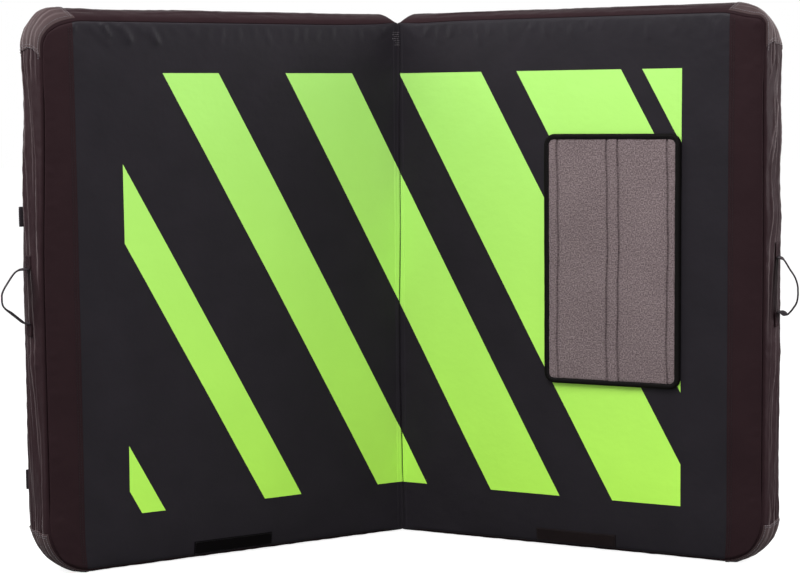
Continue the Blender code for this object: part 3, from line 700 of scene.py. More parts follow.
class NodeRule:
    """A Geometry Nodes tree with named inputs, and its use on an object."""

    def __init__(self, name: str, inputs: dict) -> None:
        """Start the tree.

        Args:
            name: the tree's name.
            inputs: default value of each named input; a material's is None.
        """
        self.tree = bpy.data.node_groups.new(name, 'GeometryNodeTree')
        face = self.tree.interface
        face.new_socket("Geometry", in_out='INPUT', socket_type='NodeSocketGeometry')
        face.new_socket("Geometry", in_out='OUTPUT', socket_type='NodeSocketGeometry')
        kinds = {float: 'NodeSocketFloat', int: 'NodeSocketInt', type(None): 'NodeSocketMaterial'}
        self.sockets = {}
        for label, value in inputs.items():
            socket = face.new_socket(label, in_out='INPUT', socket_type=kinds[type(value)])
            if value is not None:
                socket.default_value = value
            self.sockets[label] = socket.identifier
        self.start = self.tree.nodes.new("NodeGroupInput")
        self.end = self.tree.nodes.new("NodeGroupOutput")

    def close(self, geometry: bpy.types.Node) -> None:
        """End the tree in Realize Instances and Set Material."""
        real = add_node(self.tree, "GeometryNodeRealizeInstances", None, {0: geometry})
        dressed = add_node(self.tree, "GeometryNodeSetMaterial", None,
                           {"Geometry": real, "Material": self.start.outputs["Material"]})
        self.tree.links.new(dressed.outputs[0], self.end.inputs[0])

    def apply(self, obj: bpy.types.Object, **values) -> bpy.types.Object:
        """Run the tree on an object and keep the result as its plain mesh.

        Args:
            obj: the object that the tree works on.
            values: inputs by name, with underscores for spaces.

        Returns:
            The same object.
        """
        modifier = obj.modifiers.new(self.tree.name, 'NODES')
        modifier.node_group = self.tree
        for label, value in values.items():
            modifier[self.sockets[label.replace("_", " ")]] = value
        realised(obj)
        if not obj.data.materials:
            obj.data.materials.append(values["Material"])
        obj.data.shade_smooth()
        return obj


class BeadRow(NodeRule):
    """Beads at an even pitch along a path: stitches lie along it, and a zip's coil lies across it."""

    def __init__(self) -> None:
        """Build the tree."""
        super().__init__("bead_row", {"Pitch": 0.005, "Length": 0.0035, "Width": 0.0009, "Jitter": 0.1,
                                      "Seed": 3, "Material": None})
        tree, start = self.tree, self.start.outputs
        curve = add_node(tree, "GeometryNodeMeshToCurve", None, {0: start["Geometry"]})
        spaced = add_node(tree, "GeometryNodeResampleCurve", {"mode": 'LENGTH'},
                          {"Curve": curve, "Length": start["Pitch"]})
        bead = add_node(tree, "GeometryNodeMeshUVSphere", None, {"Segments": 6, "Rings": 4, "Radius": 0.5})
        size = add_node(tree, "ShaderNodeCombineXYZ", None,
                        {0: start["Length"], 1: start["Width"], 2: start["Width"]})
        tangent = add_node(tree, "GeometryNodeInputTangent")
        turned = add_node(tree, "FunctionNodeAlignRotationToVector", {"axis": 'X'}, {"Vector": tangent})
        low = add_node(tree, "ShaderNodeMath", {"operation": 'SUBTRACT'}, {0: 1.0, 1: start["Jitter"]})
        change = add_node(tree, "FunctionNodeRandomValue", {"data_type": 'FLOAT'},
                          {2: low, 3: 1.0, "Seed": start["Seed"]})
        scale = add_node(tree, "ShaderNodeVectorMath", {"operation": 'SCALE'}, {0: size, "Scale": change})
        placed = add_node(tree, "GeometryNodeInstanceOnPoints", None,
                          {"Points": spaced, "Instance": bead, "Rotation": turned, "Scale": scale})
        self.close(placed)


class WebbingRule(NodeRule):
    """Ribs of flat webbing: a rule that lifts a strap's face by its place across the strap."""

    def __init__(self) -> None:
        """Build the tree."""
        super().__init__("webbing_ribs", {"Rib Pitch": 0.0032, "Rib Height": 0.00022, "Slack": 0.0003,
                                          "Seed": 5, "Material": None})
        tree, start = self.tree, self.start.outputs
        plan = add_node(tree, "GeometryNodeInputNamedAttribute", {"data_type": 'FLOAT_VECTOR'}, {"Name": "web"})
        axes = add_node(tree, "ShaderNodeSeparateXYZ", None, {0: plan})
        turns = add_node(tree, "ShaderNodeMath", {"operation": 'DIVIDE'}, {0: 2 * math.pi, 1: start["Rib Pitch"]})
        phase = add_node(tree, "ShaderNodeMath", {"operation": 'MULTIPLY'}, {0: axes.outputs[0], 1: turns})
        wave = add_node(tree, "ShaderNodeMath", {"operation": 'COSINE'}, {0: phase})
        rib = add_node(tree, "ShaderNodeMath", {"operation": 'MULTIPLY'}, {0: wave, 1: start["Rib Height"]})
        waver = add_node(tree, "ShaderNodeTexNoise", {"noise_dimensions": '4D'},
                         {"Vector": plan, "W": start["Seed"], "Scale": 40.0, "Detail": 1.0})
        level = add_node(tree, "ShaderNodeMath", {"operation": 'SUBTRACT'}, {0: waver, 1: 0.5})
        total = add_node(tree, "ShaderNodeMath", {"operation": 'MULTIPLY_ADD'},
                         {0: level, 1: start["Slack"], 2: rib})
        normal = add_node(tree, "GeometryNodeInputNormal")
        lift = add_node(tree, "ShaderNodeVectorMath", {"operation": 'SCALE'}, {0: normal, "Scale": total})
        moved = add_node(tree, "GeometryNodeSetPosition", None, {"Geometry": start["Geometry"], "Offset": lift})
        self.close(moved)


# ---------------------------------------------------------------- the shell of one half


@dataclass(frozen=True)
class Half:
    """One half's frame: u from the fold, w back through the thickness, z up."""

    name: str
    side: int
    axis_y: float
    turn_deg: float = 28.5

    @property
    def body(self) -> str:
        """Name of the body that carries the half."""
        return f"{self.name}_half"

    def turned(self, vectors: np.ndarray) -> np.ndarray:
        """Turn directions from u, w, z into the row frame."""
        cos, sin = math.cos(math.radians(self.turn_deg)), math.sin(math.radians(self.turn_deg))
        u, w, z = vectors[..., 0], vectors[..., 1], vectors[..., 2]
        return np.stack((self.side * (u * cos + w * sin), w * cos - u * sin, z), -1)

    def world(self, points: np.ndarray) -> np.ndarray:
        """Move points from u, w, z into the row frame."""
        return self.turned(points) + np.array((0, self.axis_y, 0))


def crest(x: np.ndarray, dip: float) -> np.ndarray:
    """Section of a slack fold: a crest of height 1 at 0, and a dip on its upper side."""
    return np.exp(-np.abs(x) ** 1.5) - dip * np.exp(-(x - 1.7) ** 2)


@dataclass(frozen=True)
class FoldLine:
    """A crest of slack cloth between two points of a surface, in metres."""

    start: tuple[float, float]
    end: tuple[float, float]
    height: float
    width: float
    waver: float = 0.002

    def place(self, a: np.ndarray, b: np.ndarray) -> tuple[np.ndarray, np.ndarray]:
        """Distance aside from the crest, and the crest's fullness, at points of the surface."""
        along = np.array(self.end) - np.array(self.start)
        length = float(np.hypot(*along))
        away_a, away_b = a - self.start[0], b - self.start[1]
        share = (away_a * along[0] + away_b * along[1]) / length ** 2
        aside = (away_a * along[1] - away_b * along[0]) / length
        aside = aside + self.waver * np.sin(share * 7 + self.start[0] * 90)
        fade = smooth_step(share * 3.5) * smooth_step((1 - share) * 3.5)
        return aside, fade

    def lift(self, a: np.ndarray, b: np.ndarray) -> np.ndarray:
        """Height of the crest, with the dip beside it."""
        aside, fade = self.place(a, b)
        return self.height * fade * crest(aside / self.width, 0.45)

    def rubbed(self, a: np.ndarray, b: np.ndarray, width: float) -> np.ndarray:
        """How far the crest gets the pale painted highlight, within a width."""
        aside, fade = self.place(a, b)
        return fade * np.exp(-(aside / width) ** 2)


def ripple(a: np.ndarray, b: np.ndarray, wave: float, seed: int) -> np.ndarray:
    """Smooth, seeded unevenness from -1 to 1 with a given wavelength."""
    rng = np.random.default_rng(seed)
    total = np.zeros(np.broadcast(a, b).shape)
    for _ in range(7):
        angle, phase, pace = rng.uniform(0, math.pi), rng.uniform(0, 7), rng.uniform(0.7, 1.6)
        total += np.sin((a * math.cos(angle) + b * math.sin(angle)) * 2 * math.pi * pace / wave + phase)
    return total / 4


def read_grid(grid: np.ndarray, a: np.ndarray, b: np.ndarray) -> np.ndarray:
    """Read a grid of vectors at shares of its rows and columns, along smooth cubic curves."""
    rows, columns = grid.shape[:2]
    picked = []
    for share, count in ((a, rows), (b, columns)):
        place = np.clip(share, 0, 1) * (count - 1)
        base = np.minimum(place.astype(int), count - 2)
        t = place - base
        weights = (-t / 2 + t ** 2 - t ** 3 / 2, 1 - 2.5 * t ** 2 + 1.5 * t ** 3,
                   t / 2 + 2 * t ** 2 - 1.5 * t ** 3, -t ** 2 / 2 + t ** 3 / 2)
        picked.append([(np.clip(base + step - 1, 0, count - 1), weights[step]) for step in range(4)])
    total = np.zeros((*a.shape, grid.shape[2]))
    for i, first in picked[0]:
        for j, second in picked[1]:
            total += grid[i, j] * (first * second)[..., None]
    return total


class BoxGrid:
    """Vertices and faces of a closed box whose six sides are grids, as shares of its three sizes."""

    def __init__(self, across: int, up: int, deep: int) -> None:
        """Number the vertices and list the faces.

        Args:
            across: cells along u.
            up: cells along z.
            deep: cells through the thickness.
        """
        count = (across + 1) * (up + 1)
        self.front = np.arange(count).reshape(across + 1, up + 1)
        self.back = self.front + count
        loop = ([(i, up) for i in range(across)] + [(across, j) for j in range(up, 0, -1)]
                + [(i, 0) for i in range(across, 0, -1)] + [(0, j) for j in range(up)])
        self.place = {step: k for k, step in enumerate(loop)}
        steps = np.array(loop)
        self.ring = np.zeros((deep + 1, len(loop)), int)
        self.ring[0], self.ring[deep] = self.front[tuple(steps.T)], self.back[tuple(steps.T)]
        self.ring[1:deep] = 2 * count + np.arange((deep - 1) * len(loop)).reshape(deep - 1, -1)
        total = 2 * count + (deep - 1) * len(loop)
        self.shares = np.zeros((total, 3))
        grid = np.stack(np.meshgrid(np.linspace(0, 1, across + 1), np.linspace(0, 1, up + 1), indexing="ij"), -1)
        self.shares[self.front.ravel()] = np.insert(grid.reshape(-1, 2), 1, 0, 1)
        self.shares[self.back.ravel()] = np.insert(grid.reshape(-1, 2), 1, 1, 1)
        for level in range(1, deep):
            edge = np.insert(steps / (across, up), 1, level / deep, 1)
            self.shares[self.ring[level]] = edge
        ends = {Rim.TOP: [(i, up) for i in range(across + 1)], Rim.BOTTOM: [(i, 0) for i in range(across + 1)],
                Rim.END: [(across, j) for j in range(up + 1)], Rim.INNER: [(0, j) for j in range(up + 1)]}
        self.rims = {rim: self.ring[:, [self.place[step] for step in path]].T for rim, path in ends.items()}
        closed = np.concatenate((self.ring, self.ring[:, :1]), 1)
        self.faces = self._cells(self.front) + [face[::-1] for face in self._cells(self.back)]
        self.faces += [face[::-1] for face in self._cells(closed)]

    @staticmethod
    def _cells(index: np.ndarray) -> list:
        """List the four corners of each cell of a grid of vertex numbers."""
        return np.stack((index[:-1, :-1], index[1:, :-1], index[1:, 1:], index[:-1, 1:]), -1).reshape(-1, 4).tolist()


@dataclass
class PadShell:
    """Fabric shell of one half: a puffed box with drawn-in seams, inflated as cloth and then creased."""

    half: Half
    seed: int
    face_folds: tuple[FoldLine, ...] = ()
    end_folds: tuple[FoldLine, ...] = ()
    # plan and thickness; a pair of radii is for the landing face and the back
    length: float = 0.726
    height: float = 1.000
    thickness: float = 0.100
    fold_edge: float = 0.0002
    upper_corner: tuple[float, float] = (0.080, 0.060)
    lower_corner: tuple[float, float] = (0.084, 0.090)
    inner_corner: float = 0.0015
    border_from: float = 0.653
    skin: float = 0.0012
    # how far the seams draw the cloth in, and how the box departs from a plain one
    shoulder: float = 0.014
    top_draw: float = 0.0215
    fold_draw: float = 0.0185
    end_draw: float = 0.008
    bottom_draw: float = 0.004
    inner_setback: float = 0.0027
    crown: float = 0.0045
    corner_droop: float = 0.011
    end_taper: float = 0.0
    # inflation as cloth
    swell_cap: float = 0.0035
    pressure: float = 0.5
    pin_weight: float = 0.004
    cloth_steps: int = 14
    # creases along the seams, slack folds and the pale highlight painted on their crests
    seam_depth: float = 0.0038
    seam_reach: float = 0.0080
    slit_depth: float = 0.0030
    slit_reach: float = 0.0026
    crease_depth: float = 0.0022
    fold_fade: float = 0.008
    fold_depths: tuple[float, ...] = (0.055, 0.078, 0.034, 0.086, 0.066, 0.024, 0.080, 0.046, 0.090, 0.060, 0.038,
                                      0.072, 0.084, 0.050, 0.068, 0.030, 0.078, 0.058)
    ridge_depths: tuple[float, ...] = (0.014, 0.026, 0.037, 0.049, 0.061, 0.073, 0.085)
    crest_highlight_width: float = 0.0016
    crest_highlight_shares: tuple[float, ...] = (0.28, 0.60, 0.16, 0.42)
    ridge_highlight_shares: tuple[float, ...] = (0.25, 0.45, 0.15)
    swell: dict = field(default_factory=dict)
    rim_folds: dict = field(default_factory=dict)

    def __post_init__(self) -> None:
        """Lay out the long slack folds of the gusset, which sink towards the landing face as they go down."""
        rng = np.random.default_rng(self.seed)
        end = list(self.end_folds)
        for step, depth in enumerate(self.fold_depths):
            top = 0.965 - step * 0.042 + rng.uniform(-0.015, 0.015)
            run, sink = rng.uniform(0.22, 0.38), rng.uniform(0.016, 0.040)
            width = rng.uniform(0.0021, 0.0040)
            end.append(FoldLine((top, depth), (top - run, max(depth - sink, 0.009)),
                                (1 - 0.03 * step) * rng.uniform(0.75, 1.10) * width, width))
        self.rim_folds = {Rim.END: end, Rim.INNER: [], Rim.TOP: [], Rim.BOTTOM: []}
        for rim, count in ((Rim.TOP, 7), (Rim.BOTTOM, 6), (Rim.INNER, 7)):
            reach = self.height if rim is Rim.INNER else self.length
            for _ in range(count):
                a, b = rng.uniform(0.02, reach - 0.2), rng.uniform(0.02, 0.08)
                self.rim_folds[rim].append(FoldLine((a, b), (a + rng.uniform(0.12, 0.28), b + rng.uniform(-0.01, 0.01)),
                                                    rng.uniform(0.0005, 0.0014), rng.uniform(0.003, 0.006)))

    # -- base shape

    def corners(self, deep=0.5) -> tuple:
        """Centre, direction and radius of the plan's four round corners, at shares of the thickness."""
        ease = smooth_step(np.asarray(deep) / 0.45)
        upper, lower, inner = lerp(*self.upper_corner, ease), lerp(*self.lower_corner, ease), self.inner_corner
        left = self.fold_edge + inner
        return ((self.length - upper, self.height - upper, 1, 1, upper), (self.length - lower, lower, 1, -1, lower),
                (left, self.height - inner, -1, 1, inner), (left, inner, -1, -1, inner))

    def round_plan(self, x: np.ndarray, z: np.ndarray, deep=0.5) -> tuple[np.ndarray, np.ndarray]:
        """Slide points of the square plan in behind its round corners."""
        for cx, cz, sx, sz, radius in self.corners(deep):
            a, b = np.clip(sx * (x - cx) / radius, 0, 1), np.clip(sz * (z - cz) / radius, 0, 1)
            inside = (a > 0) & (b > 0)
            x, z = (np.where(inside, cx + sx * radius * a * np.sqrt(1 - b * b / 2), x),
                    np.where(inside, cz + sz * radius * b * np.sqrt(1 - a * a / 2), z))
        return x, z

    def rim_normal(self, rim: Rim, p: np.ndarray) -> np.ndarray:
        """Outward direction of the plan's edge, in u, w and z, at places along it."""
        sign = {Rim.TOP: (0, 1), Rim.BOTTOM: (0, -1), Rim.END: (1, 0), Rim.INNER: (-1, 0)}[rim]
        normal = np.zeros((*p.shape, 3))
        normal[..., 0], normal[..., 2] = sign
        x, z = self.rim_plan(rim, p)
        rx, rz = self.round_plan(x, z)
        for cx, cz, sx, sz, radius in self.corners():
            near = (sx * (x - cx) >= 0) & (sz * (z - cz) >= 0)
            normal[..., 0] = np.where(near, (rx - cx) / radius, normal[..., 0])
            normal[..., 2] = np.where(near, (rz - cz) / radius, normal[..., 2])
        return normal / np.linalg.norm(normal, axis=-1, keepdims=True)

    def rim_plan(self, rim: Rim, p: np.ndarray) -> tuple[np.ndarray, np.ndarray]:
        """Square plan place of points along an edge."""
        fixed = {Rim.TOP: self.height, Rim.BOTTOM: 0.0, Rim.END: self.length, Rim.INNER: self.fold_edge}[rim]
        level = np.full(p.shape, fixed)
        return (p, level) if rim in (Rim.TOP, Rim.BOTTOM) else (level, p)

    def settle(self, x: np.ndarray, y: np.ndarray, z: np.ndarray) -> np.ndarray:
        """Puffed place of points of the square plan, with the seams drawn in."""
        deep = np.clip(y / self.thickness, 0, 1)
        x, z = self.round_plan(x, z, deep)
        along, up = (x - self.fold_edge) / (self.length - self.fold_edge), z / self.height
        drawn = 1 - np.maximum(np.sin(np.pi * deep), 0) ** 0.7
        edge = np.maximum(np.abs(2 * deep - 1) - 0.5, 0) / 0.5
        setback = self.inner_setback * np.minimum(1, y / (self.skin * 1.25))
        px = x + setback * (1 - along) - self.end_draw * drawn * along
        slope = 1 - np.clip((x - self.fold_edge) / self.shoulder, 0, 1)
        drop = 1 - np.sqrt(1 - slope ** 2)
        pz = z + (1 - up) * self.bottom_draw * edge ** 2 - up * self.draw_at(x) * (drawn + (1 - drawn) * drop)
        droop = self.corner_droop * (1 - smooth_step(deep / 0.45)) * smooth_step((x - self.length + 0.085) / 0.07)
        pz = pz - droop * up ** 6
        px = px - self.end_taper * smooth_step((along - 0.9) / 0.1) * smooth_step((up - 0.50) / 0.36)
        return np.stack((px, y + 0 * px, pz), -1)

    def draw_at(self, x: np.ndarray) -> np.ndarray:
        """How far the top seam is drawn down: alike for both halves at the fold."""
        return lerp(self.fold_draw, self.top_draw, smooth_step(x / 0.15))

    def crowned(self, along: np.ndarray, up: np.ndarray) -> np.ndarray:
        """Height of the landing face over its seams, at shares of its length and height."""
        return self.crown * (np.sin(np.pi * along) * np.sin(np.pi * up)).clip(0) ** 0.6

    # -- inflation

    def inflate(self) -> None:
        """Blow the closed shell up a little as pinned cloth, and keep how far each point moved."""
        grid = BoxGrid(64, 90, 10)
        x = self.fold_edge + grid.shares[:, 0] * (self.length - self.fold_edge)
        y, z = grid.shares[:, 1] * self.thickness, grid.shares[:, 2] * self.height
        rest = self.settle(x, y, z)
        moved = np.zeros_like(rest)
        rest_noise = np.random.default_rng(self.seed).normal(0, 0.00025, rest.shape)
        rest_noise[np.concatenate((grid.ring[0], grid.ring[-1]))] = 0
        moved = self._simulate(grid, rest + rest_noise) - rest
        length = np.linalg.norm(moved, axis=1, keepdims=True)
        moved *= self.swell_cap * np.tanh(length / self.swell_cap) / np.maximum(length, 1e-9)
        moved[:, 1] *= smooth_step(rest[:, 0] / 0.30)
        moved *= lerp(0.2, 1, smooth_step(rest[:, :1] / 0.08))
        self.swell = {"front": moved[grid.front], "back": moved[grid.back]}
        for rim, index in grid.rims.items():
            self.swell[rim] = moved[index]

    def _simulate(self, grid: BoxGrid, rest: np.ndarray) -> np.ndarray:
        """Run Blender's cloth on the shell, pinned along its seams.

        Returns:
            The vertex places afterwards.
        """
        mesh = bpy.data.meshes.new("inflating")
        mesh.from_pydata(rest.tolist(), [], grid.faces)
        holder = new_object("inflating", mesh)
        seams = set(grid.ring[0].tolist()) | set(grid.ring[-1].tolist())
        pins = holder.vertex_groups.new(name="pins")
        pins.add(sorted(seams), 1.0, 'REPLACE')
        pins.add([i for i in range(len(rest)) if i not in seams], self.pin_weight, 'REPLACE')
        cloth = holder.modifiers.new("cloth", 'CLOTH')
        settings = cloth.settings
        settings.quality, settings.mass, settings.bending_stiffness = 3, 0.15, 0.1
        settings.vertex_group_mass = "pins"
        settings.use_pressure, settings.uniform_pressure_force = True, self.pressure
        settings.effector_weights.gravity = 0
        cloth.collision_settings.use_collision = False
        for step in range(1, self.cloth_steps + 1):
            bpy.context.scene.frame_set(step)
        solved = holder.evaluated_get(bpy.context.evaluated_depsgraph_get())
        places = np.zeros(len(rest) * 3, np.float32)
        solved.data.vertices.foreach_get("co", places)
        bpy.context.scene.frame_set(1)
        bpy.data.objects.remove(holder)
        bpy.data.meshes.remove(mesh)
        return places.reshape(-1, 3).astype(float)

    # -- finished surfaces

    def tuck(self, rim: Rim, p: np.ndarray, away: np.ndarray, back: bool) -> np.ndarray:
        """Turn the cloth in towards a seam: an offset that fades away from it."""
        fade = np.clip(1 - away / self.seam_reach, 0, 1) ** 2
        if rim is Rim.INNER:
            ends = smooth_step(p / 0.03) * smooth_step((self.height - p) / 0.03)
            sunk = np.zeros((*p.shape, 3))
            sunk[..., 1] = (-1 if back else 1) * self.crease_depth * fade * ends
            return sunk
        pull = -0.7 * self.rim_normal(rim, p)
        pull[..., 1] = -0.7 if back else 0.7
        sunk = self.seam_depth * fade
        if rim is Rim.END:
            ends = smooth_step((p - 0.10) / 0.05) * smooth_step((self.height - 0.10 - p) / 0.05)
            sunk = sunk + self.slit_depth * np.clip(1 - away / self.slit_reach, 0, 1) ** 2 * ends
        else:
            sunk = sunk * smooth_step(p / 0.05)
        return pull * sunk[..., None]

    def face(self, x: np.ndarray, z: np.ndarray, back: bool = False, lift: float = 0.0) -> np.ndarray:
        """Points of the landing face or the back, from the square plan.

        Args:
            x: places along u.
            z: heights.
            back: take the back instead of the landing face.
            lift: distance to stand off the cloth.

        Returns:
            Points in the half's frame.
        """
        out = 1 if back else -1
        points = self.settle(x, np.full(x.shape, self.thickness if back else 0.0), z)
        share_x, share_z = (x - self.fold_edge) / (self.length - self.fold_edge), z / self.height
        gaps = {Rim.TOP: self.height - z, Rim.BOTTOM: z, Rim.END: self.length - x, Rim.INNER: x - self.fold_edge}
        stack = np.stack(list(gaps.values()))
        nearest, away = stack.argmin(0), stack.min(0)
        loose = smooth_step(away / 0.02)
        if back:
            raised = 0.0005 * ripple(points[..., 0], points[..., 2], 0.16, self.seed + 5) * loose
        else:
            uneven = 0.0006 * ripple(points[..., 0], points[..., 2], 0.22, self.seed) * loose
            raised = self.crowned(share_x, share_z) + uneven
            for fold in self.face_folds:
                raised = raised + fold.lift(points[..., 0], points[..., 2]) * smooth_step(away / 0.006)
            raised = raised - read_grid(self.swell["front"], share_x, share_z)[..., 1]
            # the faces have to close on one another beside the fold
            raised = np.minimum(raised, 0.030 * (x - self.fold_edge))
        points[..., 1] += out * (raised + lift)
        for place, rim in enumerate(gaps):
            p = x if rim in (Rim.TOP, Rim.BOTTOM) else z
            points += self.tuck(rim, p, away, back) * (nearest == place)[..., None]
        return points

    def on_face(self, u: np.ndarray, z: np.ndarray, back: bool = False, lift=0.0) -> np.ndarray:
        """Points of a face by their finished u and z, for what is sewn onto it."""
        span = self.length - self.fold_edge
        x = self.fold_edge + (u - self.fold_edge) * span / (span - self.end_draw)
        up = (z - self.bottom_draw) / (1 - (self.bottom_draw + self.draw_at(x)) / self.height)
        return self.face(x, up, back, lift)

    def rim(self, rim: Rim, p: np.ndarray, y: np.ndarray, lift=0.0) -> np.ndarray:
        """Points of the gusset.

        Args:
            rim: the strip.
            p: places along the strip's edge of the plan.
            y: depths from the landing face.
            lift: distance to stand off the cloth.

        Returns:
            Points in the half's frame.
        """
        x, z = self.rim_plan(rim, p)
        points = self.settle(x, y, z)
        reach = self.height if rim in (Rim.END, Rim.INNER) else self.length
        share = (p - self.fold_edge) / (reach - self.fold_edge) if rim in (Rim.TOP, Rim.BOTTOM) else p / reach
        away = np.minimum(y, self.thickness - y)
        loose = smooth_step(away / 0.018)
        amount = {Rim.END: 0.0022, Rim.TOP: 0.0008, Rim.BOTTOM: 0.0005, Rim.INNER: 0.0008}[rim]
        ends = smooth_step(p / 0.09) * smooth_step((reach - p) / 0.09)
        if rim is Rim.END:
            ends = ends * (1 - 0.8 * smooth_step((0.125 - np.abs(p - 0.5)) / 0.05))
        raised = amount * ripple(p, y * 1.5, 0.17, self.seed + 11) * loose * ends
        for fold in self.rim_folds[rim]:
            raised = raised + fold.lift(p, y) * smooth_step(away / self.fold_fade) * ends
        raised = raised + self.corner_ridges(rim, p, y) * smooth_step(away / self.fold_fade)
        normal = self.rim_normal(rim, p)
        points += normal * (raised + lift)[..., None]
        points += read_grid(self.swell[rim], share, y / self.thickness)
        back = y > self.thickness / 2
        points += np.where(back[..., None], self.tuck(rim, p, away, True), self.tuck(rim, p, away, False))
        return points

    def corner_lines(self, rim: Rim, p: np.ndarray) -> list[tuple]:
        """Depth, fullness, width and height of the ridges that gather round the two outer corners."""
        lines = []
        reach = self.length if rim in (Rim.TOP, Rim.BOTTOM) else self.height
        for top in (True, False):
            if rim is (Rim.BOTTOM if top else Rim.TOP) or rim is Rim.INNER:
                continue
            away = (reach - p) if rim is not Rim.END or top else p
            rng = np.random.default_rng(self.seed + 40 + top)
            for level in self.ridge_depths:
                drift = level + rng.uniform(-0.004, 0.004) + rng.uniform(-0.05, 0.05) * away
                width = rng.uniform(0.0021, 0.0036)
                fade = smooth_step((0.135 - away) / 0.05)
                if rim is Rim.TOP:
                    fade = fade * (1 - 0.7 * smooth_step((away - 0.02) / 0.05))
                lines.append((drift, fade, width, rng.uniform(0.70, 1.10) * width))
        return lines

    def corner_ridges(self, rim: Rim, p: np.ndarray, y: np.ndarray) -> np.ndarray:
        """Height of the corners' ridges along the gusset."""
        total = np.zeros(np.broadcast(p, y).shape)
        for drift, fade, width, height in self.corner_lines(rim, p):
            x = (y - drift) / width
            total += height * fade * crest(x, 0.4)
        return total

    def rim_crest_highlight(self, rim: Rim, p: np.ndarray, y: np.ndarray) -> np.ndarray:
        """How far the gusset's crests get the pale painted highlight, from 0 to 1."""
        ends = smooth_step(np.minimum(y, self.thickness - y) / self.fold_fade)
        total = np.zeros(np.broadcast(p, y).shape)
        for index, fold in enumerate(self.rim_folds[rim]):
            amount = self.crest_highlight_shares[index % 4] * (1 - 0.04 * index if rim is Rim.END else 0.15)
            total = np.maximum(total, amount * fold.rubbed(p, y, self.crest_highlight_width) * ends)
        for index, (drift, fade, _, _) in enumerate(self.corner_lines(rim, p)):
            amount = self.ridge_highlight_shares[index % 3]
            total = np.maximum(total, amount * fade * np.exp(-((y - drift) / self.crest_highlight_width) ** 2) * ends)
        return total


# ---------------------------------------------------------------- sewing


def closed_object(name: str, half: Half, points: np.ndarray, faces: list, cloth: np.ndarray,
                  material: bpy.types.Material) -> bpy.types.Object:
    """Make a closed piece from points in a half's frame, with its faces outwards.

    Args:
        name: piece name.
        half: the half whose frame the points are in.
        points: vertex places.
        faces: vertex numbers of each face.
        cloth: cloth coordinates in metres for each vertex.
        material: its finish.

    Returns:
        The new object.
    """
    obj = mesh_object(name, half.world(points.reshape(-1, 3)), faces, cloth, material)
    bm = bmesh.new()
    bm.from_mesh(obj.data)
    turn_outwards(bm)
    bm.to_mesh(obj.data)
    bm.free()
    return obj


def capped(rows: int, columns: int) -> list:
    """Faces of a tube of closed rings, with both ends filled by strips across them."""
    faces = quads(rows, columns, False, True)
    for start in (0, (rows - 1) * columns):
        faces += [[start + k, start + k + 1, start + columns - 2 - k, start + columns - 1 - k]
                  for k in range(columns // 2 - 1)]
    return faces


def band(name: str, half: Half, line: tuple, section: tuple, sizes: tuple, material: bpy.types.Material) -> tuple:
    """Make a closed strip along a line.

    Args:
        name: piece name.
        half: the half whose frame the line is in.
        line: the strip's middle, and the directions across and out of it, at each row.
        section: places across and out of the strip's outer side, as shares of its sizes; the inner side mirrors them.
        sizes: width and half thickness, at each row or one for all.
        material: its finish.

    Returns:
        The new object, and its cloth coordinates across and along it.
    """
    centres, side, normal = line
    across, out = np.concatenate((section[0], section[0][::-1])), np.concatenate((section[1], -section[1][::-1]))
    widths, walls = (np.broadcast_to(size, (len(centres),))[:, None] for size in sizes)
    aside = across * widths / 2
    points = centres[:, None] + side[:, None] * aside[..., None] + normal[:, None] * (out * walls)[..., None]
    plan = np.stack(np.broadcast_arrays(aside, run_along(centres)[:, None]), -1)
    return closed_object(name, half, points, capped(len(centres), len(across)), plan, material), plan


def smooth_path(points: tuple, count: int) -> np.ndarray:
    """Points evenly spaced along a smooth curve through control points."""
    knots = np.array(points, float)
    gaps = np.sqrt(np.linalg.norm(np.diff(knots, axis=0), axis=1))
    at = np.concatenate(([0], np.cumsum(gaps)))
    ends = np.concatenate(([2 * knots[0] - knots[1]], knots, [2 * knots[-1] - knots[-2]]))
    times = np.concatenate(([at[0] - gaps[0]], at, [at[-1] + gaps[-1]]))
    slopes = (ends[2:] - ends[:-2]) / (times[2:] - times[:-2])[:, None]
    fine = []
    for i in range(len(knots) - 1):
        t = np.linspace(0, 1, 24, endpoint=False)[:, None]
        h = at[i + 1] - at[i]
        fine.append((1 + 2 * t) * (1 - t) ** 2 * knots[i] + t * (1 - t) ** 2 * h * slopes[i]
                    + t * t * (3 - 2 * t) * knots[i + 1] + t * t * (t - 1) * h * slopes[i + 1])
    line = np.concatenate(fine + [knots[-1:]])
    run = run_along(line)
    even = np.linspace(0, run[-1], count)
    return np.stack([np.interp(even, run, line[:, axis]) for axis in range(line.shape[1])], -1)


@dataclass(frozen=True)
class Stitch:
    """Pitch of a row of stitches, the size of each, its thread, and how much stitches differ in size."""

    pitch: float
    length: float
    width: float
    thread: str = "dark_thread"
    jitter: float = 0.12


BOX_STITCH = Stitch(0.0034, 0.0027, 0.0009)
EDGE_STITCH = Stitch(0.0042, 0.0033, 0.0010)
FINE_STITCH = Stitch(0.0032, 0.0025, 0.0008)


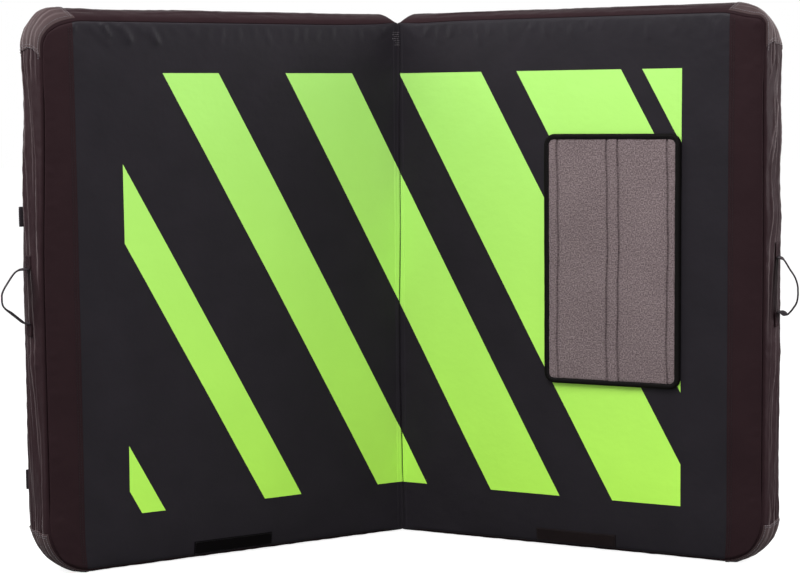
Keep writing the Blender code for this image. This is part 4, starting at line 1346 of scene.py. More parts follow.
class Workshop:
    """Sews webbing and stitches, and puts finished pieces on their bodies."""

    webbing_step = 0.0013
    fewest_columns = 9

    def __init__(self) -> None:
        """Get the finishes and the rule-based trees ready."""
        self.finishes = Wardrobe()
        self.beads = BeadRow()
        self.ribs = WebbingRule()

    def wear(self, piece: bpy.types.Object, body: str, slot: str, *nodes: str) -> bpy.types.Object:
        """Put a piece on its body.

        Args:
            piece: the piece.
            body: body that it moves with.
            slot: the record's material slot.
            nodes: CAD nodes that it stands for.

        Returns:
            The piece.
        """
        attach(piece, body)
        return self.mark(piece, slot, *nodes)

    def bend(self, piece: bpy.types.Object, bodies: tuple, ends: tuple, slot: str, *nodes: str) -> bpy.types.Object:
        """Bake a piece's place into its mesh, hide the CAD nodes that it stands for and log its slot.

        Args:
            piece: the piece.
            bodies: not used.
            ends: not used.
            slot: the record's material slot.
            nodes: CAD nodes that it stands for.

        Returns:
            The piece.
        """
        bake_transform(piece)
        return self.mark(piece, slot, *nodes)

    @staticmethod
    def mark(piece: bpy.types.Object, slot: str, *nodes: str) -> bpy.types.Object:
        """Hide the CAD nodes that a piece stands for, and log its slot."""
        if nodes:
            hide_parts(*nodes)
        LOG.info("%s: %d faces, %s", piece.name, len(piece.data.polygons), slot)
        return piece

    def webbing(self, name: str, half: Half, centres: np.ndarray, across: np.ndarray, width: float,
                thickness: float, finish: str = "woven_webbing") -> bpy.types.Object:
        """Weave a strap along a line: a closed flat strip with rounded edges and ribs.

        Args:
            name: piece name.
            half: the half whose frame the line is in.
            centres: points along the strap's middle.
            across: direction across the strap, at each point or one for all.
            width: width of the strap.
            thickness: thickness of the strap.
            finish: name of its finish.

        Returns:
            The strap as a plain mesh.
        """
        tangent = np.gradient(centres, axis=0)
        normal = unit(np.cross(tangent, np.broadcast_to(np.asarray(across, float), centres.shape)))
        share = np.linspace(-1, 1, max(self.fewest_columns, int(width / self.webbing_step) | 1))
        share = np.sign(share) * (1 - (1 - np.abs(share)) ** 1.15)
        strap, plan = band(name, half, (centres, unit(np.cross(normal, tangent)), normal),
                           (share, 1 - 0.6 * np.abs(share) ** 8), (width, thickness / 2), self.finishes[finish])
        web = strap.data.attributes.new("web", 'FLOAT_VECTOR', 'POINT')
        web.data.foreach_set("vector", np.insert(plan.reshape(-1, 2), 2, 0, 1).astype(np.float32).ravel())
        return self.ribs.apply(strap, Material=self.finishes[finish])

    def stitches(self, name: str, half: Half | None, paths: list, stitch: Stitch) -> bpy.types.Object:
        """Sew rows of stitches.

        Args:
            name: piece name.
            half: the half whose frame the rows are in, or none for the row frame.
            paths: points along each row.
            stitch: pitch and size of the stitches.

        Returns:
            The stitches as one plain mesh.
        """
        places, edges, base = [], [], 0
        for path in paths:
            places.append(half.world(np.asarray(path, float)) if half else path)
            edges += [(base + k, base + k + 1) for k in range(len(path) - 1)]
            base += len(path)
        mesh = bpy.data.meshes.new(name)
        mesh.from_pydata(np.concatenate(places).tolist(), edges, [])
        return self.beads.apply(new_object(name, mesh), Pitch=stitch.pitch, Length=stitch.length, Width=stitch.width,
                                Jitter=stitch.jitter, Seed=3, Material=self.finishes[stitch.thread])

    def sew(self, name: str, half: Half, body: str, slot: str, paths: list, stitch: Stitch) -> None:
        """Sew rows of stitches and put them on their body."""
        self.wear(self.stitches(name, half, paths, stitch), body, slot)

    def sew_box(self, name: str, half: Half, body: str, slot: str, level: float, low: tuple, high: tuple) -> None:
        """Sew a box with a cross in it between two corners in u and z, at a given w."""
        rows = [points_at(u, level, z) for u, z in cross_box(low, high)]
        self.sew(name, half, body, slot, rows, BOX_STITCH)


# ---------------------------------------------------------------- sub-assemblies


@dataclass
class Cushion:
    """Fabric shell of one half with the foam inside it."""

    shell: PadShell
    step: float = 0.005
    seam_step: float = 0.0012
    border_step: float = 0.004
    back_step: float = 0.009
    gusset_steps: tuple[float, float] = (0.002, 0.004)
    depth_steps: tuple[float, float] = (0.0008, 0.0016)
    border_rows: tuple[float, float] = (0.0040, 0.0085)
    border_stitch: Stitch = Stitch(0.0050, 0.0040, 0.0009)
    patch_reach: float = 0.072
    patch_margin: float = 0.0022
    patch_lift: float = 0.0014
    patch_wall: float = 0.0013
    patch_sewn: float = 0.0019
    patch_rows: tuple[float, float] = (0.0035, 0.0080)
    patch_stitch: Stitch = Stitch(0.0042, 0.0034, 0.0011, "grey_thread")
    firm_depths: tuple[float, float] = (0.0040, 0.0212)
    core_depths: tuple[float, float] = (0.0216, 0.0960)
    foam_gap: tuple[float, float] = (0.006, 0.008)

    def build(self, shop: Workshop) -> None:
        """Make the panels, the corner patches, the foam and the seams' topstitching."""
        self.faces(shop)
        self.gusset(shop)
        self.patches(shop)
        self.foam(shop)
        self.topstitch(shop)

    def split(self) -> float:
        """Place of the seam between the landing cover and the end border, in the square plan."""
        shell = self.shell
        span = shell.length - shell.fold_edge
        return shell.fold_edge + (shell.border_from - shell.fold_edge) * span / (span - shell.end_draw)

    def faces(self, shop: Workshop) -> None:
        """Make the landing cover, the end border and the back panel."""
        shell, half = self.shell, self.shell.half
        nylon = shop.finishes["heavy_woven_nylon"]
        printed = shop.finishes["printed_coated_polyester"]
        for label, low, high, step, rise, finish, lining, slot in (
                ("landing_cover", shell.fold_edge, self.split(), self.step, self.step, printed, nylon, "shell"),
                ("end_border", self.split(), shell.length, self.border_step, self.step, nylon, None, "heavy"),
                ("back_panel", shell.fold_edge, shell.length, self.back_step, self.back_step, nylon, None, "heavy")):
            back = label == "back_panel"
            x, z = np.meshgrid(graded(low, high, self.seam_step, step),
                               graded(0, shell.height, self.seam_step, rise), indexing="ij")
            grid = shell.face(x, z, back)
            cloth = np.stack((half.side * grid[..., 0], grid[..., 2]), -1)
            panel = sheet_object(f"{half.name}_{label}_cloth", half, grid, cloth, (0, 1 if back else -1, 0),
                                 shell.skin, finish, lining)
            shop.wear(panel, half.body, slot, f"{half.name}_{label}")

    def gusset(self, shop: Workshop) -> None:
        """Make the four strips round the edge."""
        shell, half = self.shell, self.shell.half
        deep = graded(0, shell.thickness, *self.depth_steps)
        outward = {Rim.TOP: (0, 0, 1), Rim.BOTTOM: (0, 0, -1), Rim.END: (1, 0, 0), Rim.INNER: (-1, 0, 0)}
        for rim, out in outward.items():
            long = rim in (Rim.END, Rim.INNER)
            path = graded(0 if long else shell.fold_edge, shell.height if long else shell.length, *self.gusset_steps)
            p, y = np.meshgrid(path, deep, indexing="ij")
            # the gusset's crests carry the pale painted highlight
            strip = sheet_object(f"{half.name}_gusset_{rim.value}_cloth", half, shell.rim(rim, p, y),
                                 np.stack((y, p), -1), out, shell.skin, shop.finishes["heavy_woven_nylon"],
                                 rubbed=shell.rim_crest_highlight(rim, p, y))
            shop.wear(strip, half.body, "heavy", f"{half.name}_gusset_{rim.value}")

    def round_corner(self, upper: bool, away: np.ndarray, read: Callable) -> tuple[np.ndarray, np.ndarray]:
        """Read the gusset on both sides of an outer corner.

        Args:
            upper: the upper corner, or the lower one.
            away: signed distance from the corner, less than nothing on the top or bottom strip.
            read: what to read, of a strip and the places along it.

        Returns:
            What was read on the top or bottom strip, and on the end strip.
        """
        shell, gap = self.shell, np.abs(away)
        return (read(Rim.TOP if upper else Rim.BOTTOM, shell.length - gap),
                read(Rim.END, shell.height - gap if upper else gap))

    def corner_points(self, upper: bool, away: np.ndarray, y: np.ndarray, lift: float) -> np.ndarray:
        """Points round an outer corner of the gusset, at depths from the landing face and off the cloth."""
        flat, side = self.round_corner(upper, away, lambda rim, p: self.shell.rim(rim, p, y, lift))
        return np.where((away < 0)[..., None], flat, side)

    def shortening(self, upper: bool, y: np.ndarray, on_end: np.ndarray) -> np.ndarray:
        """Share by which the upper patch's end side falls short near the landing face."""
        return 0.15 * (1 - smooth_step(y / 0.05)) * on_end * upper

    def patches(self, shop: Workshop) -> None:
        """Make the corner patches and the rows of stitches round their edges."""
        shell, half, reach, margin = self.shell, self.shell.half, self.patch_reach, self.patch_margin
        for label, upper in (("upper", True), ("lower", False)):
            away, y = np.meshgrid(np.linspace(-reach, reach, 81),
                                  graded(margin, shell.thickness - margin, 0.001, 0.0022), indexing="ij")
            uneven = 0.05 * ripple(y, y * 0, 0.06, shell.seed + upper)
            away = away * (1 - self.shortening(upper, y, away > 0) + uneven)
            # the patches' crests carry the pale painted highlight too
            flat, side = self.round_corner(upper, away, lambda rim, p: shell.rim_crest_highlight(rim, p, y))
            name = f"{half.name}_corner_patch_{label}"
            patch = sheet_object(f"{name}_cloth", half, self.corner_points(upper, away, y, self.patch_lift),
                                 np.stack((y, away), -1), (1, 0, 1 if upper else -1), self.patch_wall,
                                 shop.finishes["patch_ballistic_nylon"], rubbed=np.where(away < 0, flat, side))
            shop.wear(patch, half.body, "patch", name)
            rows = []
            for inset in self.patch_rows:
                along = np.linspace(margin + inset, shell.thickness - margin - inset, 50)
                for way in (-1, 1):
                    short = self.shortening(upper, along, way > 0)
                    rows.append(self.corner_points(upper, way * (reach * (1 - short) - inset), along, self.patch_sewn))
            around = np.linspace(self.patch_rows[0] - reach, reach - self.patch_rows[0], 90)
            for depth in (margin + 0.0040, shell.thickness - margin - 0.0040):
                rows.append(self.corner_points(upper, around, np.full(around.shape, depth), self.patch_sewn))
            shop.sew(f"{name}_stitches", half, half.body, "patch", rows, self.patch_stitch)

    def foam(self, shop: Workshop) -> None:
        """Make the firm sheet and the soft core, a little smaller than the shell."""
        shell, half = self.shell, self.shell.half
        grid = BoxGrid(30, 40, 4)
        low, high = self.foam_gap
        for label, depths, finish in (("firm", self.firm_depths, "closed_cell_foam"),
                                      ("core", self.core_depths, "open_cell_foam")):
            x = lerp(shell.fold_edge + low, shell.length - high, grid.shares[:, 0])
            y = lerp(*depths, grid.shares[:, 1])
            z = lerp(low, shell.height - high, grid.shares[:, 2])
            slab = closed_object(f"{half.name}_foam_{label}_slab", half, shell.settle(x, y, z), grid.faces,
                                 np.stack((x, z), -1), shop.finishes[finish])
            shop.wear(slab, half.body, f"{label}_foam", f"{half.name}_foam_{label}")

    def topstitch(self, shop: Workshop) -> None:
        """Sew the rows beside the border seam, in dark thread."""
        shell, half = self.shell, self.shell.half
        z = np.linspace(0.012, shell.height - 0.012, 200)
        rows = [shell.face(np.full(z.shape, self.split() + aside), z, False, 0.0004) for aside in self.border_rows]
        shop.sew(f"{half.name}_border_stitches", half, half.body, "shell", rows, self.border_stitch)


@dataclass
class HandLoop:
    """Webbing loop on the end gusset with its two sewn anchors."""

    shell: PadShell
    line: tuple[tuple[float, float], ...]
    anchors: tuple[float, float] = (0.426, 0.569)
    width: float = 0.025
    thickness: float = 0.0026
    flex: float = 0.022
    lower_twist: float = 0.0
    leaning: tuple[float, float] = (0.12, 0.55)
    lean: tuple[float, float, float] = (-0.30, 0.95, -0.085)
    anchor_lift: float = 0.0012
    anchor_wall: float = 0.0020
    sewn: float = 0.0024

    def build(self, shop: Workshop) -> None:
        """Sew the loop, which leans towards the fold, its anchors and their box stitches."""
        shell, half = self.shell, self.shell.half
        path = smooth_path(self.line, 90)
        middle = shell.thickness / 2
        centres = points_at(shell.length + self.anchor_lift + path[:, 0] / 1000, middle, path[:, 1])
        share = np.linspace(0, 1, len(path))
        centres[:, 1] += 0.004 * np.sin(np.pi * share)
        loop = shop.webbing(f"{half.name}_hand_loop_webbing", half, centres, self.across(centres, share),
                            self.width, self.thickness)
        ends = tuple(tuple(half.world(np.array((shell.length + out, middle, 0.5)))) for out in (0.0005, self.flex))
        shop.bend(loop, (half.body, f"{half.name}_hand_loop"), ends, "webbing", f"{half.name}_hand_loop")
        edge = self.width / 2 - 0.0035
        for label, start, end in (("upper", self.line[0][1], self.anchors[1]),
                                  ("lower", self.anchors[0], self.line[-1][1])):
            name = f"{half.name}_loop_anchor_{label}"
            p = np.linspace(start, end, 12)
            base = shell.rim(Rim.END, p, np.full(p.shape, middle), self.anchor_lift)
            anchor = shop.webbing(f"{name}_webbing", half, base, (0, 1, 0), self.width, self.anchor_wall,
                                  "heavy_woven_nylon")
            shop.wear(anchor, half.body, "webbing", name)
            rows = [shell.rim(Rim.END, a, b, self.sewn) for a, b in
                    cross_box((start + 0.003, middle - edge), (end - 0.003, middle + edge))]
            shop.sew(f"{name}_stitches", half, half.body, "webbing", rows, FINE_STITCH)

    def across(self, centres: np.ndarray, share: np.ndarray) -> np.ndarray:
        """Direction across the webbing at each point: twisted at its lower root, and leaning between."""
        twist = self.lower_twist * np.sin(np.pi * smooth_step((share - 0.72) / 0.28))
        upright = np.stack((np.sin(twist) * 0.6, np.cos(twist), np.sin(twist) * 0.8), -1)
        along = unit(np.gradient(centres, axis=0))
        leant = self.lean - along * (along @ np.array(self.lean))[:, None]
        low, high = self.leaning
        amount = 0.94 * smooth_step((share - low) / 0.1 + 1) * smooth_step((high - share) / 0.1 + 1)
        return lerp(upright, leant, amount[:, None])


@dataclass
class FaceTab:
    """Strip of hook or loop tape along the bottom of the landing face."""

    shell: PadShell
    finish: str
    low: tuple[float, float] = (0.284, 0.008)
    high: tuple[float, float] = (0.442, 0.033)
    thickness: float = 0.0018
    wall: float = 0.0014
    stitch: Stitch = Stitch(0.0032, 0.0024, 0.0006)

    def build(self, shop: Workshop) -> None:
        """Lay the tape on the cloth and sew round its edge."""
        shell, half = self.shell, self.shell.half
        u, z = np.meshgrid(graded(self.low[0], self.high[0], 0.0006, 0.004),
                           graded(self.low[1], self.high[1], 0.0006, 0.002), indexing="ij")
        edge = edge_gap(u, z, self.low, self.high)
        lift = (self.thickness * (0.35 + 0.65 * smooth_step(edge / 0.0012))
                + 0.0004 * ripple(u, z, 0.02, 9) * smooth_step(edge / 0.003))
        tab = sheet_object(f"{half.name}_face_tape", half, shell.on_face(u, z, False, lift), np.stack((u, z), -1),
                           (0, -1, 0), self.wall, shop.finishes[self.finish])
        shop.wear(tab, half.body, "hook", f"{half.name}_face_tab")
        corners = rounded_outline(self.low, self.high, 0.003, 1, 0.002)
        rows = []
        for (a, b), (c, d) in zip(corners, corners[1:] + corners[:1]):
            share = np.linspace(0, 1, 20)
            rows.append(shell.on_face(lerp(a, c, share), lerp(b, d, share), False, self.thickness + 0.0002))
        shop.sew(f"{half.name}_face_tape_stitches", half, half.body, "hook", rows, self.stitch)


@dataclass
class Carpet:
    """Looped carpet mat with a bound edge on the right half's landing face."""

    shell: PadShell
    low: tuple[float, float] = (0.3055, 0.311)
    high: tuple[float, float] = (0.5675, 0.7705)
    corner: float = 0.020
    pile: float = 0.0068
    binding: float = 0.010
    clearance: float = 0.0006
    grooves: tuple[float, ...] = (0.1038, 0.4706, 0.5534, 0.9095)
    groove_width: float = 0.0012
    cell: float = 0.0022
    fine: float = 0.0005
    mat_wall: float = 0.0030
    tape_wall: float = 0.0010
    profile: tuple[tuple[float, float], ...] = (
        (0.0, 0.0002), (0.0, 0.0035), (0.0007, 0.0062), (0.0022, 0.0082), (0.0045, 0.0089),
        (0.0070, 0.0084), (0.0088, 0.0074), (0.0100, 0.0062), (0.0100, 0.0040))
    sewn: float = 0.0080
    stitch: Stitch = Stitch(0.0045, 0.0034, 0.0008)

    def build(self, shop: Workshop) -> None:
        """Make the mat and its binding."""
        self.mat(shop)
        self.bind(shop)

    def mat(self, shop: Workshop) -> None:
        """Make the pile surface: uneven yarn ends and grooves pressed in lengthwise."""
        shell, half, wide = self.shell, self.shell.half, self.high[0] - self.low[0]
        inset = self.binding * 0.55
        low, high = [v + inset for v in self.low], [v - inset for v in self.high]
        lines = [lerp(self.low[0], self.high[0], line) for line in self.grooves]
        spread = np.linspace(low[0], high[0], round((high[0] - low[0]) / self.cell))
        near = np.abs(spread[:, None] - np.array(lines)).min(1) < 0.0055
        spread = np.sort(np.concatenate([spread[~near]] + [np.arange(line - 0.005, line + 0.005, self.fine)
                                                           for line in lines]))
        u, z = np.meshgrid(spread, np.linspace(low[1], high[1], round((high[1] - low[1]) / self.cell)), indexing="ij")
        rng = np.random.default_rng(21)
        lift = self.pile + rng.normal(0, 0.00035, u.shape) + 0.0004 * ripple(u, z, 0.12, 4)
        share = (u - self.low[0]) / wide
        wander = 0.0012 * np.sin(z * 19) + 0.0006 * np.sin(z * 53)
        for line in self.grooves:
            x = ((share - line) * wide + wander) / self.groove_width
            lift += 0.0010 * np.exp(-(x + 2.0) ** 2) - 0.0038 * np.exp(-x ** 2)
        lift += 0.0007 * smooth_step((share - 0.470) / 0.02) * smooth_step((0.545 - share) / 0.02)
        lift -= 0.0022 * (1 - smooth_step(edge_gap(u, z, low, high) / 0.007))
        mat = sheet_object(f"{half.name}_carpet_pile", half, shell.on_face(u, z, False, lift),
                           np.stack((u, z), -1), (0, -1, 0), self.mat_wall, shop.finishes["looped_carpet"])
        shop.wear(mat, half.body, "carpet", f"{half.name}_carpet_mat")

    def bind(self, shop: Workshop) -> None:
        """Fold the binding tape over the mat's edge and sew it down."""
        shell, half = self.shell, self.shell.half
        rings = []
        for inset, lift in self.profile:
            u, z = self.outline(inset).T
            uneven = 0.0004 * ripple(u, z, 0.05, 8) * (lift > 0.004)
            rings.append(shell.on_face(u, z, False, self.clearance + lift + uneven))
        grid = np.stack(rings)
        run = run_along(grid[4])
        across = np.array([inset for inset, _ in self.profile])
        cloth = np.stack(np.broadcast_arrays(run[None], across[:, None]), -1)
        tape = mesh_object(f"{half.name}_carpet_tape", half.world(grid), quads(*grid.shape[:2], False, True), cloth,
                           shop.finishes["binding_tape"])
        face_forward(tape, half.turned(np.array((0.0, -1.0, 0.0))))
        add_wall(tape, self.tape_wall)
        shop.wear(realised(tape), half.body, "binding", f"{half.name}_carpet_binding")
        u, z = self.outline(self.sewn).T
        row = shell.on_face(u, z, False, self.clearance + 0.0080)
        shop.sew(f"{half.name}_carpet_stitches", half, half.body, "binding", [row], self.stitch)

    def outline(self, inset: float) -> np.ndarray:
        """Round the mat's outline, drawn in on all sides, with points along its straight edges too."""
        corners = np.array(rounded_outline(self.low, self.high, self.corner, 8, inset))
        points = []
        for index, (a, b) in enumerate(zip(corners, np.roll(corners, -1, 0))):
            count = 40 if index % 9 == 8 else 1
            points += [a + (b - a) * k / count for k in range(count)]
        return np.array(points)


@dataclass
class FoldSeam:
    """Strip of cover cloth sewn over the fold line, with its crease, its stitches and the bar tack."""

    left: PadShell
    right: PadShell
    low: float = 0.002
    high: float = 0.998
    reach: float = 0.013
    flat: float = 0.008
    stand: float = 0.0006
    groove: float = 0.0042
    thickness: float = 0.0005
    heights: tuple[float, ...] = (0.0, 0.12, 0.30, 0.45, 0.60, 0.80, 0.96, 1.0)
    drifts: tuple[float, ...] = (0.0045, 0.0018, -0.0015, -0.0010, 0.0020, 0.0022, 0.0045, 0.0038)
    tack_high: float = 0.961
    tack_pitch: float = 0.0040
    tack_lengths: tuple[float, ...] = (0.0125, 0.0140, 0.0115, 0.0145, 0.0110, 0.0085, 0.0100)
    # the dark stitches in the crease are wide, and darken it as painted shade besides being a row of stitches
    stitch: Stitch = Stitch(0.0042, 0.0040, 0.0016)
    tack_stitch: Stitch = Stitch(0.0024, 0.0034, 0.0008, "grey_thread")

    def crease(self, up: np.ndarray) -> np.ndarray:
        """Where the crease wanders to, across the fold line, by share of the height."""
        return np.interp(up, self.heights, self.drifts) + 0.0003 * ripple(up, up * 0, 0.11, 3)

    def surface(self, across: np.ndarray, up: np.ndarray, lift: float = 0.0, sewn: bool = False) -> np.ndarray:
        """Points on the strip.

        Args:
            across: distances from the fold line, less than nothing on the left half.
            up: shares of the height.
            lift: distance to stand off the strip.
            sewn: stay above the covers beyond the strip's edges.

        Returns:
            Points in the row frame.
        """
        away = np.abs(across)
        ends = smooth_step(up / 0.03) * smooth_step((1 - up) / 0.03)
        fade = np.clip(1 - away / self.left.seam_reach, 0, 1) ** 2
        level = lerp(self.stand, -self.stand, smooth_step((away - self.flat) / (self.reach - self.flat)))
        if sewn:
            level = np.maximum(level, 0.0001)
        aside = across - self.crease(up)
        level = level + self.left.crease_depth * fade * ends + 0.0005 * np.exp(-((aside + 0.0032) / 0.0022) ** 2)
        level = level - self.groove * np.exp(-(aside / 0.0008) ** 2) + lift
        left, right = (shell.half.world(shell.face(shell.fold_edge + away, up * shell.height, False, level))
                       for shell in (self.left, self.right))
        return np.where((across < 0)[..., None], left, right)

    def bend(self, shop: Workshop, piece: bpy.types.Object, *nodes: str) -> None:
        """Bake a piece's place into its mesh, hide the CAD nodes that it stands for and log it."""
        ends = [(way * 0.007, self.left.half.axis_y, 0.5) for way in (-1, 1)]
        shop.bend(piece, ("left_half", "right_half"), ends, "shell", *nodes)

    def build(self, shop: Workshop) -> None:
        """Make the strip, and sew it."""
        across = np.concatenate((np.arange(-self.reach, -0.0065, 0.0008), np.arange(-0.0065, 0.0070, 0.00035),
                                 np.arange(0.0070, self.reach + 0.0001, 0.0008)))
        s, up = np.meshgrid(across, graded(self.low, self.high, 0.001, 0.004), indexing="ij")
        places = self.surface(s, up)
        strip = mesh_object("fold_welt_cloth", places, quads(*s.shape, False), np.stack((s, places[..., 2]), -1),
                            shop.finishes["printed_coated_polyester"])
        face_forward(strip, np.array((0.0, -1.0, 0.0)))
        add_wall(strip, self.thickness, shop.finishes["heavy_woven_nylon"])
        self.bend(shop, realised(strip), "fold_welt")
        # a row of wide dark stitches in the groove: real stitching that also darkens the crease as painted shade
        line = np.linspace(0.020, 0.955, 240)
        rows = [self.surface(self.crease(line), line, 0.0030)]
        self.bend(shop, shop.stitches("fold_stitches", None, rows, self.stitch))
        tacks = []
        for step, length in enumerate(self.tack_lengths):
            up = np.full(8, (self.tack_high - step * self.tack_pitch) / 0.979)
            tacks.append(self.surface(self.crease(up) - 0.0006 - np.linspace(0, length, 8), up, 0.0003, True))
        self.bend(shop, shop.stitches("fold_bar_tack", None, tacks, self.tack_stitch))


@dataclass
class Zip:
    """Coil zip on the back panel, with its slider and the pull that hangs from it."""

    shell: PadShell
    line: float = 0.040
    low: float = 0.120
    high: float = 0.880
    tape_width: float = 0.024
    tape_wall: float = 0.0009
    coil_lift: float = 0.0019
    sewn: float = 0.0014
    coil: Stitch = Stitch(0.0018, 0.0013, 0.0024, "nylon_coil", 0.02)
    stitch: Stitch = Stitch(0.0042, 0.0032, 0.0008)
    slider_low: float = 0.140
    seat: float = 0.1016
    hinge: float = 0.152

    def build(self, shop: Workshop) -> None:
        """Make the tape with its coil, the slider and the pull."""
        self.tape(shop)
        self.slider(shop)
        self.pull(shop)

    def tape(self, shop: Workshop) -> None:
        """Lay the tape, and the interlocked coil along its middle."""
        shell, half, wide = self.shell, self.shell.half, self.tape_width / 2
        u, z = np.meshgrid(np.linspace(self.line - wide, self.line + wide, 25),
                           graded(self.low, self.high, 0.001, 0.006), indexing="ij")
        aside = np.abs(u - self.line)
        lift = 0.0013 + 0.0003 * np.exp(-(aside / 0.004) ** 2) - 0.0004 * (aside > wide - 0.0005)
        tape = sheet_object(f"{half.name}_zip_tape_cloth", half, shell.on_face(u, z, True, lift),
                            np.stack((u, z), -1), (0, 1, 0), self.tape_wall, shop.finishes["woven_webbing"])
        shop.wear(tape, half.body, "webbing", f"{half.name}_zip_tape")
        coil, sewn = [], []
        for way in (-1, 1):
            at = np.linspace(self.low + 0.004 + way * self.coil.pitch / 4, self.high - 0.004, 300)
            aside = np.full(at.shape, self.line + way * self.coil.width * 0.42)
            coil.append(shell.on_face(aside, at, True, self.coil_lift))
            at = np.linspace(self.low + 0.003, self.high - 0.003, 200)
            aside = np.full(at.shape, self.line + way * (wide - 0.0030))
            sewn.append(shell.on_face(aside, at, True, self.sewn))
        shop.sew(f"{half.name}_zip_coil", half, half.body, "webbing", coil, self.coil)
        shop.sew(f"{half.name}_zip_stitches", half, half.body, "webbing", sewn, self.stitch)

    def slider(self, shop: Workshop) -> None:
        """Make the slider: a waisted plate over the coil, its flanges and the bridge."""
        low, seat, line = self.slider_low, self.seat, self.line
        side = ((0.0042, 0.0), (0.0046, 0.0030), (0.0044, 0.0070), (0.0055, 0.0110), (0.0050, 0.0135),
                (0.0030, 0.0140))
        outline = [(line + x, low + z) for x, z in ((-0.0042, 0.0), *side, *((-x, z) for x, z in side[:0:-1]))]
        body = plate([outline], seat + 0.0020, 0.0015, 0.0004)
        for way in (-1, 1):
            ends = sorted((line + way * 0.0030, line + way * 0.0043))
            add_block(body, (ends[0], seat, low + 0.0004), (ends[1], seat + 0.0026, low + 0.0128), 0.0003)
        for start, end, foot, top in ((0.0126, 0.0136, 0.0032, 0.0082), (0.0064, 0.0074, 0.0032, 0.0082),
                                      (0.0064, 0.0136, 0.0074, 0.0083)):
            add_block(body, (line - 0.0011, seat + foot, low + start), (line + 0.0011, seat + top, low + end), 0.0003)
        name = f"{self.shell.half.name}_zip_slider"
        piece = solid_object(f"{name}_casting", self.shell.half, body, shop.finishes["cast_zinc_slider"])
        shop.wear(piece, name, "plastic", name)

    def pull(self, shop: Workshop) -> None:
        """Make the pull: a tapered plate with an eye for the bridge and a grip hole."""
        line, top, low = self.line, self.hinge + 0.0008, self.hinge - 0.032
        side = ((0.0030, low), (0.0044, low + 0.0008), (0.0050, low + 0.0035), (0.0036, top - 0.010),
                (0.0035, top - 0.0008), (0.0030, top))
        eye = rounded_outline((line - 0.0020, self.hinge - 0.0078), (line + 0.0020, self.hinge - 0.0011), 0.0012, 3)
        grip = rounded_outline((line - 0.0022, low + 0.0040), (line + 0.0022, low + 0.0105), 0.0020, 4)
        outline = [(line - x, z) for x, z in side[::-1]] + [(line + x, z) for x, z in side]
        bm = plate([outline, eye, grip], self.seat + 0.0053, 0.0018, 0.00035)
        name = f"{self.shell.half.name}_zip_pull"
        piece = solid_object(f"{name}_plate", self.shell.half, bm, shop.finishes["cast_zinc_slider"])
        shop.wear(piece, name, "plastic", name)


